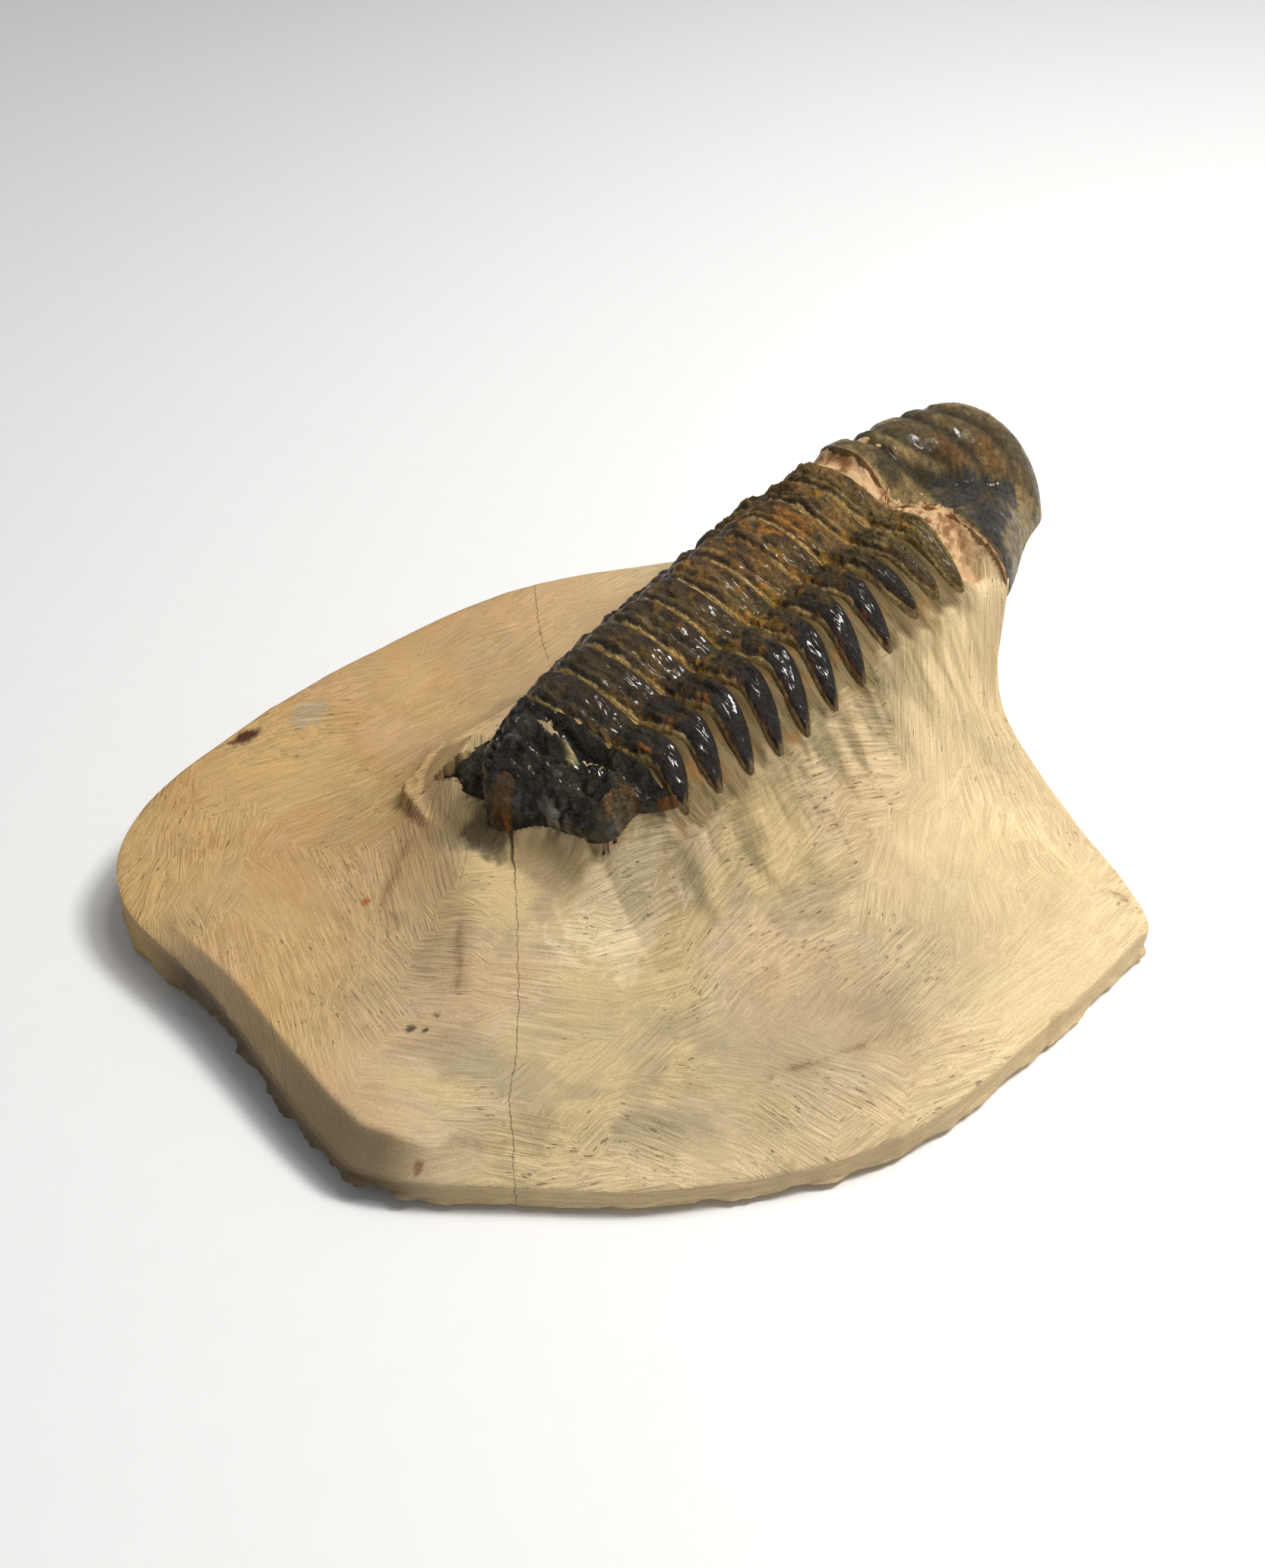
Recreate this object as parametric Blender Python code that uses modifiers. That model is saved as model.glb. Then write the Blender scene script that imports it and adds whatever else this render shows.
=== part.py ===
"""A fossil trilobite worked out of a hand-tooled slab of limestone.

The animal lies arched along X with its head at +X: a head shield, eleven body
segments with swept-back spines, and a tail shield. Each shield or segment is a
thin shell of its own, bedded on the stone with a hair's gap all round. The
stone is one block: a scooped slab, with a pedestal that rises under the animal.

All lengths are millimetres until shaped_plate scales them to metres.
"""

import math

import bmesh
import bpy
import numpy as np

MM = 0.001
SHARP_ANGLE = math.radians(50.0)  # edges that turn by more than this look crisp

# The middle of the whole specimen seen from above, which becomes the origin.
CENTRE = (3.974, -0.575, 0.0)

# The animal's layout.
# Where the seams of the body cross the back line, from the head to the tail.
SEAMS_X = (30.7, 27.0, 23.5, 20.0, 16.2, 12.2, 8.2, 4.2, 0.2, -3.8, -7.8, -11.8)
SEGMENTS = len(SEAMS_X) - 1  # free body segments between head and tail
MIDDLE_Y = 8.5               # the back line, seen from above
LEAN = math.radians(-16.0)   # the animal leans to its left, towards +Y
SEAM = 0.3                   # gap between neighbouring pieces
SHELL = 1.4                  # thickness of a shell, measured square to the lean

# The cross section of the body, measured out from the middle plane.
LOBE_HALF = 7.0              # half the width of the raised middle lobe
LOBE_DROP = 5.2              # from the back line down to the furrow beside the lobe
BEND_OUT = 12.3              # where the flank bends down
BEND_DROP = 6.2
TIP_OUT = 17.0               # the reach of the longest spine
TIP_DROP = 11.9
LEFT_REACH = 0.86            # the flank that lies deeper in the stone stops shorter
SEAM_BOW = 1.6               # how far forward of the middle a seam runs at the flanks

# The head shield.
HEAD_BACK_X = 32.9
HEAD_LENGTH = 26.8
HEAD_CREST_Z = 29.9
HEAD_TURN = math.radians(-8.0)  # the head is turned a little to its right
HEAD_BOW = 4.6               # how far forward its back edge runs at the cheeks
HEAD_DIP = 0.13              # the head's nose drops by this much per millimetre
BACK_RIM_DROP = 14.0         # from the crest down to the rim, at the back and the front
FRONT_RIM_DROP = 9.9
CHEEK_RISE = 8.5             # from the rim up to the cheeks

# The tail shield.
TAIL_LENGTH = 6.3
TAIL_HALF = 15.0
TAIL_LEFT_SHARE = 0.4        # its left half is mostly lost
TAIL_DROP = 5.2              # from the back line down to the rim, and more at the right end
TAIL_SIDE_DROP = 2.4
TAIL_TURN = math.radians(-2.0)

# The stone.
SLAB_TOP = 7.0
LEDGE_Z = 9.6                # the stone's level round the tail
SHELF_CENTRE = (-12.5, 13.8)  # a round shelf to the left of the tail
SHELF_RADIUS = 9.0
BEVEL_START = 0.86           # where the low parts of the rim begin to slope, from the middle out
FOOT_Z = 1.2                 # where the sides turn in to the flat base
TOP_SHARE = 0.84             # share of the plate's grid that makes the stone's top
BEDDING = 0.5                # gap left under the shells
BEDDING_REACH = 1.6          # how far around them the stone is cut away
STONE_CENTRE = (-5.0, 0.0)
# Corners of the block as seen from above: x, y and the height of the rim there.
RIM = [
    (-47.9, 13.7, 5.5), (-51.0, -4.3, 4.0), (-50.1, -11.2, 3.2), (-42.2, -21.2, 3.0),
    (-33.0, -30.9, 3.0), (-17.8, -40.2, 3.4), (0.0, -42.4, 4.0), (15.3, -42.5, 4.0),
    (20.2, -41.2, 4.2), (25.2, -29.3, 6.6), (30.3, -16.5, 11.5), (37.0, -11.6, 18.0),
    (46.0, -2.0, 18.5), (50.0, 8.0, 14.0), (36.4, 24.9, 9.0), (16.3, 38.1, 8.0),
    (-5.7, 41.4, 8.0), (-26.5, 40.4, 8.0), (-39.8, 36.8, 7.6), (-46.4, 29.2, 6.4),
]


def smooth_curve(points):
    """A cubic curve through (position, value) points, for arrays of positions."""
    where, value = np.array(points, float).T
    slope = np.gradient(value, where)

    def at(x):
        x = np.clip(x, where[0], where[-1])
        i = np.clip(np.searchsorted(where, x) - 1, 0, len(where) - 2)
        span = where[i + 1] - where[i]
        t = (x - where[i]) / span
        start = value[i] * (1 + 2 * t) + slope[i] * span * t
        end = value[i + 1] * (3 - 2 * t) - slope[i + 1] * span * (1 - t)
        return start * (1 - t) ** 2 + end * t ** 2

    return at


def ease(t):
    """0 below 0, 1 above 1 and a soft step between."""
    t = np.clip(t, 0.0, 1.0)
    return t * t * (3 - 2 * t)


def bump(distance):
    """1 at distance 0, fading to nothing by about 2."""
    return np.exp(-distance ** 2)


# ---------------------------------------------------------------- the body

TAIL_FRONT_X = SEAMS_X[-1] - SEAM

back_line = smooth_curve([
    (-24.0, 11.5), (-18.5, 16.8), (-12.0, 21.3), (-4.0, 23.4), (12.0, 25.9),
    (32.6, 29.2), (40.0, 30.2),
])

# How far the spines of each segment reach, and how far their tips trail, by number.
spine_reach = smooth_curve([(1, 16.7), (2, 15.9), (3, 15.9), (4, 16.5), (6, 17.0), (8, 16.8), (11, 15.4)])
spine_trail = smooth_curve([(1, 0.3), (3, -0.5), (4, 1.0), (5, 1.8), (7, 2.5), (9, 1.9), (11, 1.5)])

# How wide the left half of each segment is, as a share of the right: it narrows to the tail.
left_share = smooth_curve([(1, 1.0), (3, 0.95), (6, 0.92), (8, 0.86), (11, 0.7)])

flank = smooth_curve([
    (LOBE_HALF, LOBE_DROP), (9.5, 5.35), (BEND_OUT, BEND_DROP), (13.6, 7.5),
    (15.2, 9.5), (TIP_OUT, TIP_DROP), (TIP_OUT + 2.0, TIP_DROP + 2.6),
])


def body_drop(out):
    """How far the body's surface lies below the back line, at a distance out."""
    return np.where(out < LOBE_HALF, LOBE_DROP * (out / LOBE_HALF) ** 2, flank(out))


def lean(x, across, height, crest):
    """Puts a point of the upright animal into place, leaning by LEAN about its back line."""
    y = MIDDLE_Y + across * math.cos(LEAN) - height * math.sin(LEAN)
    z = crest + across * math.sin(LEAN) + height * math.cos(LEAN)
    return x, y, z


def segment_relief(u, out):
    """The swell of a ring, its cross furrow, and the ridge of the spine."""
    ring = 0.62 * (1 - u ** 4) - 0.28 * bump((u + 0.35) / 0.22)
    rib = 0.95 * (1 - u ** 2)
    return np.where(out < LOBE_HALF, ring, rib)


def segment_surface(number):
    """The outside and inside of one body segment, over u and v from -1 to 1."""
    front, back = SEAMS_X[number - 1:number + 1]

    def at(u, v, height):
        reach = spine_reach(number) * np.where(v > 0, LEFT_REACH, 1.0)
        out = reach * np.abs(v) ** 0.9
        across = out * np.where(v > 0, left_share(number), -1.0)
        along_spine = np.clip((out - BEND_OUT) / (reach - BEND_OUT), 0, 1)
        narrowing = (1 - 0.08 * ease((out - 8.6) / 2.6)) * (1 - 0.88 * along_spine ** 2.4)
        bow = SEAM_BOW * np.clip(out / LOBE_HALF, 0, 1) ** 2
        middle = 0.5 * (front + back) + bow - spine_trail(number) * along_spine ** 1.4
        x = middle + u * 0.5 * (front - back - SEAM) * narrowing
        return lean(x, across, height(u, out) - body_drop(out), back_line(x))

    def outside(u, v):
        return at(u, v, segment_relief)

    def inside(u, v):
        return at(u, v, lambda u, out: -SHELL)

    return outside, inside


# ---------------------------------------------------------------- the head

def turned(x, y, angle, hinge_x):
    """Swings a point of a head or tail shield sideways about its hinge on the back line."""
    cos, sin = math.cos(angle), math.sin(angle)
    return hinge_x + x * cos - y * sin, MIDDLE_Y + x * sin + y * cos


# Half the head's width, before its outline rounds off towards the nose.
head_width = smooth_curve([(0, 18.2), (0.21, 15.8), (0.46, 13.4), (0.64, 13.0), (0.82, 14.0), (1, 15.0)])
glabella_width = smooth_curve([(0, 6.6), (0.25, 6.9), (0.6, 9.0), (0.85, 9.2), (1, 8.6)])


def half_disc(u, v):
    """Maps a square onto a half disc: (forward, sideways), each within 1."""
    forward = 0.5 * (u + 1)
    return forward * np.sqrt(1 - 0.5 * v ** 2), v * np.sqrt(1 - 0.5 * forward ** 2)


def crowd_rim(forward, side):
    """Pushes the points of a half disc out, so that its steep rim gets more."""
    radius = np.hypot(forward, side)
    pushed = np.sin(0.5 * math.pi * np.clip(radius, 0, 1))
    factor = pushed / np.maximum(radius, 1e-6)
    return forward * factor, side * factor


def rim_drop(forward):
    """How far the head's rim lies below its crest."""
    return BACK_RIM_DROP + (FRONT_RIM_DROP - BACK_RIM_DROP) * forward


def cheek_height(forward, side):
    spread = np.clip(1 - forward ** 2 - side ** 2, 0, 1)
    return CHEEK_RISE * spread ** 0.45 - rim_drop(forward)


def glabella_height(forward, out):
    """The swollen middle of the head."""
    across = np.clip(1 - np.abs(out / glabella_width(forward)) ** 2.4, 0, 1)
    along = np.clip(1 - np.clip((forward - 0.66) / 0.34, 0, 1) ** 2.4, 0, 1)
    rise = rim_drop(forward) + 0.9 * np.sin(math.pi * np.clip(forward, 0, 1))
    return rise * np.sqrt(across * along) - rim_drop(forward)


def head_at(forward, side, height):
    along = HEAD_LENGTH * forward
    out = side * head_width(forward)
    bow = HEAD_BOW * np.clip(np.abs(out) / 12.0, 0, 1) ** 1.3 * (1 - forward)
    x, y, z = lean(along + bow, out, height, HEAD_CREST_Z - HEAD_DIP * along)
    return turned(x, y - MIDDLE_Y, HEAD_TURN, HEAD_BACK_X) + (z,)


def head_outside(u, v):
    forward, side = crowd_rim(*half_disc(u, v))
    cheek = cheek_height(forward, side)
    middle = glabella_height(forward, np.abs(side) * head_width(forward))
    lobes = 0.35 * np.cos(7 * math.pi * (u + 1)) * ease((middle - cheek) / 2) * (u < 0.3)
    return head_at(forward, side, np.maximum(cheek, middle) + 0.6 - lobes)


def head_inside(u, v):
    forward, side = crowd_rim(*half_disc(u, v))
    return head_at(forward, side, cheek_height(forward, side) - 0.6)


# ---------------------------------------------------------------- the tail

def tail_height(backward, side):
    edge = np.clip(1 - backward ** 2 - side ** 2, 0, 1) ** 0.5
    rim = TAIL_DROP + TAIL_SIDE_DROP * np.clip(side, 0, 1) ** 2
    full = -body_drop(TAIL_HALF * np.abs(side))
    return (full + rim) * ease(edge * 1.6) - rim


def tail_at(backward, side, height):
    """Places a point of the tail; its outline ends in blunt spines, with a long one on the left."""
    angle = np.arctan2(side, backward)
    spread = 1 + 0.1 * np.cos(7.5 * angle) + 1.1 * bump((angle + 1.08) / 0.2)
    across = -TAIL_HALF * side * spread * np.where(side < 0, TAIL_LEFT_SHARE, 1.0)
    bow = SEAM_BOW * np.clip(np.abs(across) / LOBE_HALF, 0, 1) ** 2 * (1 - backward)
    along = bow - TAIL_LENGTH * backward * spread
    x, y, z = lean(along, across, height, back_line(TAIL_FRONT_X + along))
    return turned(x, y - MIDDLE_Y, TAIL_TURN, TAIL_FRONT_X) + (z,)


def tail_outside(u, v):
    backward, side = crowd_rim(*half_disc(u, v))
    fade = ease((1 - np.hypot(backward, side)) * 4)
    ribs = 0.45 * np.cos(2 * math.pi * backward * 3.4) * fade
    return tail_at(backward, side, tail_height(backward, side) + 0.6 + ribs)


def tail_inside(u, v):
    backward, side = crowd_rim(*half_disc(u, v))
    return tail_at(backward, side, tail_height(backward, side) - 0.8)


SHELL_INSIDES = [head_inside, tail_inside] + [segment_surface(n + 1)[1] for n in range(SEGMENTS)]


# ---------------------------------------------------------------- the stone

def rim_point(turn):
    """The block's edge seen from above, and its height, at a share of a full turn."""
    count = len(RIM)
    corners = np.array(RIM)
    place = turn * count
    i = np.floor(place).astype(int)
    t = (place - i)[..., None]
    a, b, c, d = (corners[(i + k) % count] for k in (-1, 0, 1, 2))
    return 0.5 * (2 * b + (c - a) * t + (2 * a - 5 * b + 4 * c - d) * t ** 2
                  + (3 * b - a - 3 * c + d) * t ** 3)


def square_turn(u, v):
    """How far round a square a point lies, anticlockwise from the middle of its -X side."""
    angle = np.arctan2(-v, -u)
    return (angle / (2 * math.pi)) % 1.0


def animal_distance(x, y):
    """How far outside the animal's outline a point lies, seen from above."""
    along = np.maximum(np.abs(x - 14.0) - 24.0, 0)
    across = np.maximum(np.abs(y - 5.0) - 6.0, 0)
    return np.hypot(along, across) - 10.5


def pressed_height(x, y):
    """How high the stone may stand below the shells bedded on it."""
    u, v = np.meshgrid(np.linspace(-1, 1, 9), np.linspace(-1, 1, 33))
    under = [np.array(inside(u.ravel(), v.ravel())) for inside in SHELL_INSIDES]
    under_x, under_y, under_z = np.concatenate(under, axis=1)
    apart = np.hypot(x.ravel()[:, None] - under_x, y.ravel()[:, None] - under_y)
    limit = under_z - BEDDING + np.maximum(apart - BEDDING_REACH, 0)
    return limit.min(axis=1).reshape(x.shape)


def stone_height(x, y):
    """The carved top of the stone: a dished slab, a spur below the tail, a hill up to the animal."""
    slab = SLAB_TOP - 2.0 * bump((np.hypot(x + 5, y) - 27) / 12)
    down_spur = 0.68 * (-20 - x) + 0.73 * (8 - y)
    off_spur = 0.73 * (x + 20) - 0.68 * (y - 8)
    spur = 3.0 * bump(off_spur / 8) * ease(1 - down_spur / 34) * ease(1 + down_spur / 8)
    distance = animal_distance(x, y)
    edge = np.maximum(back_line(x) - 7.4 - 0.22 * (y + 11.0), LEDGE_Z)
    reach = 4.0 + 2.5 * ease((x + 10) / 40)
    hill = slab + spur + (edge - slab - spur) * np.exp(-np.maximum(distance, 0) / reach)
    off_shelf = np.hypot(x - SHELF_CENTRE[0], y - SHELF_CENTRE[1]) - SHELF_RADIUS
    shelf = slab + spur + (LEDGE_Z - slab - spur) * np.exp(-np.maximum(off_shelf, 0) / 1.8)
    hill = np.maximum(hill - np.minimum(distance, 0), shelf)
    return np.minimum(hill, pressed_height(x, y))


def stone_edge(u, v, share):
    """A point some share of the way out to the block's edge, and the edge's height there."""
    edge_x, edge_y, edge_z = np.moveaxis(rim_point(square_turn(u, v)), -1, 0)
    x = STONE_CENTRE[0] + (edge_x - STONE_CENTRE[0]) * share
    y = STONE_CENTRE[1] + (edge_y - STONE_CENTRE[1]) * share
    return x, y, edge_z


def stone_top(u, v):
    ring = np.maximum(np.abs(u), np.abs(v))
    inner = np.minimum(ring / TOP_SHARE, 1.0)
    x, y, edge_z = stone_edge(u, v, inner)
    top = stone_height(x, y)
    swept = ease((inner - 0.8) / 0.2)
    bevel = np.clip((inner - BEVEL_START) / (1 - BEVEL_START), 0, 1)
    top = top + (edge_z - top) * (bevel + (swept - bevel) * ease((edge_z - 5) / 2))
    down = np.clip((ring - TOP_SHARE) / (1 - TOP_SHARE), 0, 1)
    return x, y, top + (FOOT_Z - top) * down


def stone_bottom(u, v):
    ring = np.maximum(np.abs(u), np.abs(v))
    x, y, _ = stone_edge(u, v, 0.97 * ring)
    return x, y, np.zeros_like(x)


# ---------------------------------------------------------------- meshes

def make_material(name, colour, roughness):
    material = bpy.data.materials.new(name)
    material.use_nodes = True
    shader = material.node_tree.nodes["Principled BSDF"]
    shader.inputs["Base Color"].default_value = (*colour, 1.0)
    shader.inputs["Roughness"].default_value = roughness
    shader.inputs["Metallic"].default_value = 0.0
    return material


def flat_plate(name, columns, rows):
    """A closed plate from -1 to 1 each way, its two faces cut into a grid."""
    sheet = bmesh.new()
    bmesh.ops.create_grid(sheet, x_segments=columns, y_segments=rows, size=1.0)
    mesh = bpy.data.meshes.new(name)
    sheet.to_mesh(mesh)
    sheet.free()
    plate = bpy.data.objects.new(name, mesh)
    bpy.context.scene.collection.objects.link(plate)
    thicken = plate.modifiers.new("thickness", "SOLIDIFY")
    thicken.thickness = 2.0
    thicken.offset = 0.0
    depsgraph = bpy.context.evaluated_depsgraph_get()
    closed = bpy.data.meshes.new_from_object(plate.evaluated_get(depsgraph))
    bpy.data.objects.remove(plate)
    return closed


def shaped_plate(name, columns, rows, upper, lower, collection, material):
    """Bends a flat plate: its upper face onto one surface, its lower onto another."""
    mesh = flat_plate(name, columns, rows)
    points = np.empty(len(mesh.vertices) * 3)
    mesh.vertices.foreach_get("co", points)
    u, v, side = points.reshape(-1, 3).T
    shaped = (np.where(side > 0, upper(u, v), lower(u, v)).T - CENTRE) * MM
    mesh.vertices.foreach_set("co", np.ascontiguousarray(shaped).ravel())
    mesh.update()
    mesh.shade_smooth()
    mesh.set_sharp_from_angle(angle=SHARP_ANGLE)
    mesh.name = name
    part = bpy.data.objects.new(name, mesh)
    part.data.materials.append(material)
    collection.objects.link(part)
    return part


def main():
    for old in list(bpy.data.objects):
        bpy.data.objects.remove(old)
    specimen = bpy.data.collections.new("trilobite_fossil")
    bpy.context.scene.collection.children.link(specimen)

    shaped_plate("matrix", 40, 40, stone_top, stone_bottom, specimen,
                 make_material("limestone", (0.62, 0.50, 0.34), 0.9))
    shaped_plate("cephalon", 14, 22, head_outside, head_inside, specimen,
                 make_material("head_shell", (0.13, 0.10, 0.06), 0.4))
    for number in range(1, SEGMENTS + 1):
        outside, inside = segment_surface(number)
        shaped_plate(f"thoracic_segment_{number:02d}", 3, 22, outside, inside, specimen,
                     make_material(f"segment_shell_{number:02d}", (0.08, 0.06, 0.045), 0.35))
    shaped_plate("pygidium", 10, 16, tail_outside, tail_inside, specimen,
                 make_material("tail_shell", (0.05, 0.045, 0.04), 0.35))


main()
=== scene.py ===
# %% [markdown]
# # A trilobite worked out of its stone
#
# A trilobite was a sea animal with a hinged shell. This one lies arched on a block of
# limestone that was cut away round it by hand. The lesson dresses a simple solid model of it
# in a fine skin: the scraped stone, the head shield, eleven body segments and the tail.
#
# Every piece is worked out in millimetres in the animal's own frame and then moved to the
# frame of the solid model, so the fine skin lies on the solid one.

import math

import bpy
import numpy as np
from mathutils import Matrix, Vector


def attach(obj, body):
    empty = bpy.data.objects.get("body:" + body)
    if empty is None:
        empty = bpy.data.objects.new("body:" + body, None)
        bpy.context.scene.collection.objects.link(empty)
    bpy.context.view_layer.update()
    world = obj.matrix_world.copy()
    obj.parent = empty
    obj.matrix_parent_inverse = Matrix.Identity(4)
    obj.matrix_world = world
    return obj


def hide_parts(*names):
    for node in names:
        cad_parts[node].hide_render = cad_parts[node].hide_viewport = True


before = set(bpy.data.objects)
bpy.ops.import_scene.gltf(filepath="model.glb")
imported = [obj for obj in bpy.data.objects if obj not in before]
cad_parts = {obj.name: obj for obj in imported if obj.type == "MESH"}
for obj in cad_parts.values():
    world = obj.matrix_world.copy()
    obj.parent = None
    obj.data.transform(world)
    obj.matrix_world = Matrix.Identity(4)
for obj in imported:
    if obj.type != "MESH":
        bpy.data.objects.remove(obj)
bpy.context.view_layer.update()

# %% [markdown]
# ## Curves and noise
#
# The animal's shape is a set of smooth curves along and across its body. Natural surfaces
# also need roughness that looks random but comes out the same each time: a box of random
# numbers, read between its cells, and added up at several sizes.

# %% Curves
MM = 0.001
# The middle of the solid model's box in the animal's own frame, in millimetres.
CENTRE = np.array((3.974, -0.575, 0.0))
FAR = 1e9


def smooth_curve(points):
    """A cubic curve through (position, value) points, for arrays of positions."""
    where, value = np.array(points, float).T
    slope = np.gradient(value, where)

    def at(x):
        x = np.clip(x, where[0], where[-1])
        i = np.clip(np.searchsorted(where, x) - 1, 0, len(where) - 2)
        span = where[i + 1] - where[i]
        t = (x - where[i]) / span
        start = value[i] * (1 + 2 * t) + slope[i] * span * t
        end = value[i + 1] * (3 - 2 * t) - slope[i + 1] * span * (1 - t)
        return start * (1 - t) ** 2 + end * t ** 2

    return at


def ease(t):
    """0 below 0, 1 above 1 and a soft step between."""
    t = np.clip(t, 0.0, 1.0)
    return t * t * (3 - 2 * t)


def share(value, start, end):
    """How far a value has come from start to end, from 0 to 1."""
    return np.clip((value - start) / (end - start), 0, 1)


def bump(distance):
    """1 at distance 0, fading to nothing by about 2."""
    return np.exp(-distance ** 2)


def blend(a, b, amount):
    """a where amount is 0, b where it is 1. Works on numbers and on rows of colours."""
    a, b = np.asarray(a, float), np.asarray(b, float)
    if a.ndim == 2 or b.ndim == 2:
        amount = np.asarray(amount)[..., None]
    return a + (b - a) * amount


def line_distance(x, y, corners):
    """How far each point lies from a line drawn through the corners, with its side as the sign."""
    best = np.full(np.shape(x), FAR)
    side = np.ones(np.shape(x))
    for (ax, ay), (bx, by) in zip(corners[:-1], corners[1:]):
        dx, dy = bx - ax, by - ay
        t = np.clip(((x - ax) * dx + (y - ay) * dy) / (dx * dx + dy * dy), 0, 1)
        away = np.hypot(x - ax - t * dx, y - ay - t * dy)
        turn = dx * (y - ay) - dy * (x - ax)
        side = np.where(away < best, np.where(turn < 0, -1.0, 1.0), side)
        best = np.minimum(best, away)
    return best, side


def soft_max(a, b, width):
    """The larger of two heights, with a rounded inside corner."""
    meet = np.clip(0.5 + 0.5 * (a - b) / width, 0, 1)
    return b + (a - b) * meet + width * meet * (1 - meet)


print("a soft step, halfway:", float(ease(0.5)))

# %% Noise
SEED = 11
LATTICE_CELLS = 48
NOISE_START = 17.3
OCTAVE_SHIFT = 31.7
OCTAVE_FADE = 0.55
ROUGH_GAIN = 2.2
RANDOM = np.random.default_rng(SEED)
LATTICE = RANDOM.random((LATTICE_CELLS, LATTICE_CELLS, LATTICE_CELLS))


def noise(x, y, z, scale=1.0):
    """Smooth random values from 0 to 1, about scale wiggles to a millimetre."""
    p = np.stack(np.broadcast_arrays(x, y, z), -1) * scale + NOISE_START
    cell = np.floor(p).astype(int)
    t = ease(p - cell)
    total = 0.0
    for corner in np.ndindex(2, 2, 2):
        weight = np.prod(np.where(corner, t, 1 - t), axis=-1)
        index = (cell + corner) % LATTICE_CELLS
        total = total + weight * LATTICE[index[..., 0], index[..., 1], index[..., 2]]
    return total


def rough(x, y, z, scale=1.0, octaves=4):
    """Noise of several sizes together, about 0, mostly within 1 either way."""
    total = 0.0
    for k in range(octaves):
        layer = noise(x, y, z + OCTAVE_SHIFT * k, scale * 2 ** k) - 0.5
        total = total + layer * OCTAVE_FADE ** k
    return total * ROUGH_GAIN


print("noise at one place:", round(float(rough(1.0, 2.0, 3.0)), 3))

# %% [markdown]
# ## How the animal lies
#
# These are the same numbers as in the solid model: where the seams cross the back, how the
# body falls away from its middle line to the tips of the spines, and how it leans. The curves
# that run over the segments are given by the segment's number, 1 behind the head to 11.

# %% Layout of the body
SEAMS_X = (30.7, 27.0, 23.5, 20.0, 16.2, 12.2, 8.2, 4.2, 0.2, -3.8, -7.8, -11.8)
SEGMENTS = len(SEAMS_X) - 1
MIDDLE_Y = 8.5
LEAN = math.radians(-16.0)
SEAM = 0.3    # the gap between two shells
SHELL = 1.4   # how thick a shell is
LOBE_HALF = 7.0
LOBE_DROP = 5.2
BEND_OUT = 12.3
LEFT_REACH = 0.86
SEAM_BOW = 1.6
TAIL_FRONT_X = SEAMS_X[-1] - SEAM

back_line = smooth_curve([
    (-24.0, 11.5), (-18.5, 16.8), (-12.0, 21.3), (-4.0, 23.4), (12.0, 25.9),
    (32.6, 29.2), (40.0, 30.2),
])
spine_reach = smooth_curve([
    (1, 16.7), (2, 15.9), (3, 15.9), (4, 16.5), (6, 17.0), (8, 16.8), (11, 15.4),
])
spine_trail = smooth_curve([
    (1, 0.3), (3, -0.5), (4, 1.0), (5, 1.8), (7, 2.5), (9, 1.9), (11, 1.5),
])
left_share = smooth_curve([(1, 1.0), (3, 0.95), (6, 0.92), (8, 0.86), (11, 0.7)])
flank = smooth_curve([
    (LOBE_HALF, LOBE_DROP), (9.5, 5.35), (BEND_OUT, 6.2), (13.6, 7.5),
    (15.2, 9.5), (17.0, 11.9), (19.0, 14.5),
])


def body_drop(out):
    """How far the body's surface lies below the back line, at a distance out."""
    return np.where(out < LOBE_HALF, LOBE_DROP * (out / LOBE_HALF) ** 2, flank(out))


def lean(x, across, height, crest):
    """Puts a point of the upright animal into place, leaning by LEAN about its back line."""
    y = MIDDLE_Y + across * math.cos(LEAN) - height * math.sin(LEAN)
    z = crest + across * math.sin(LEAN) + height * math.cos(LEAN)
    return x, y, z


print("segments:", SEGMENTS, "body length along the seams, mm:", round(SEAMS_X[0] - SEAMS_X[-1], 1))

# %% [markdown]
# ## Skins and paint
#
# A skin is a fine grid bent onto a surface and closed underneath. Each corner of the grid
# carries its own colour and gloss, worked out from where it lies on the animal, because
# a fossil's colours follow its anatomy: pale stone in the seams, dark shell on the ribs.

# %% Colours
def srgb(red, green, blue):
    """A colour as a paint chart gives it, from 0 to 255, as a light level for each primary."""
    c = np.array((red, green, blue)) / 255
    return np.where(c <= 0.04045, c / 12.92, ((c + 0.055) / 1.055) ** 2.4)


CREAM = srgb(201, 180, 146)
OCHRE_STAIN_AND_SHADE = srgb(186, 150, 101)
HOLLOW_SHADE_GREY = srgb(160, 148, 122)
PALE_SEAM = srgb(206, 180, 124)
GOLD = srgb(176, 128, 44)
KHAKI = srgb(156, 130, 80)
OLIVE = srgb(116, 98, 62)
DARK = srgb(46, 41, 33)
SPINE_BLACK = srgb(36, 32, 30)
NEAR_BLACK = srgb(27, 26, 25)
ORANGE = srgb(162, 98, 34)
RED_BROWN = srgb(104, 46, 24)
RUST = srgb(108, 68, 32)
BLUE_GREY = srgb(48, 49, 50)
TAN = srgb(112, 92, 56)
HORN = srgb(84, 74, 46)
PALE_HORN = srgb(128, 110, 68)


def layered(ground, coats):
    """Lays coats over a ground colour in turn, each a colour and how thickly it covers."""
    paint = np.tile(ground, (len(coats[0][1]), 1))
    for colour, amount in coats:
        paint = blend(paint, colour, amount)
    return paint


def speckled(paint, speck, depth, gloss):
    """The looks of a shell: its paint, lighter and darker in specks, and its gloss."""
    paint = paint * (1 + depth * np.clip(speck, -1, 1))[:, None]
    return {"paint": np.clip(paint, 0, 1), "gloss": np.clip(gloss, 0, 1)}


print("cream as light levels:", [round(float(level), 2) for level in CREAM])

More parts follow.
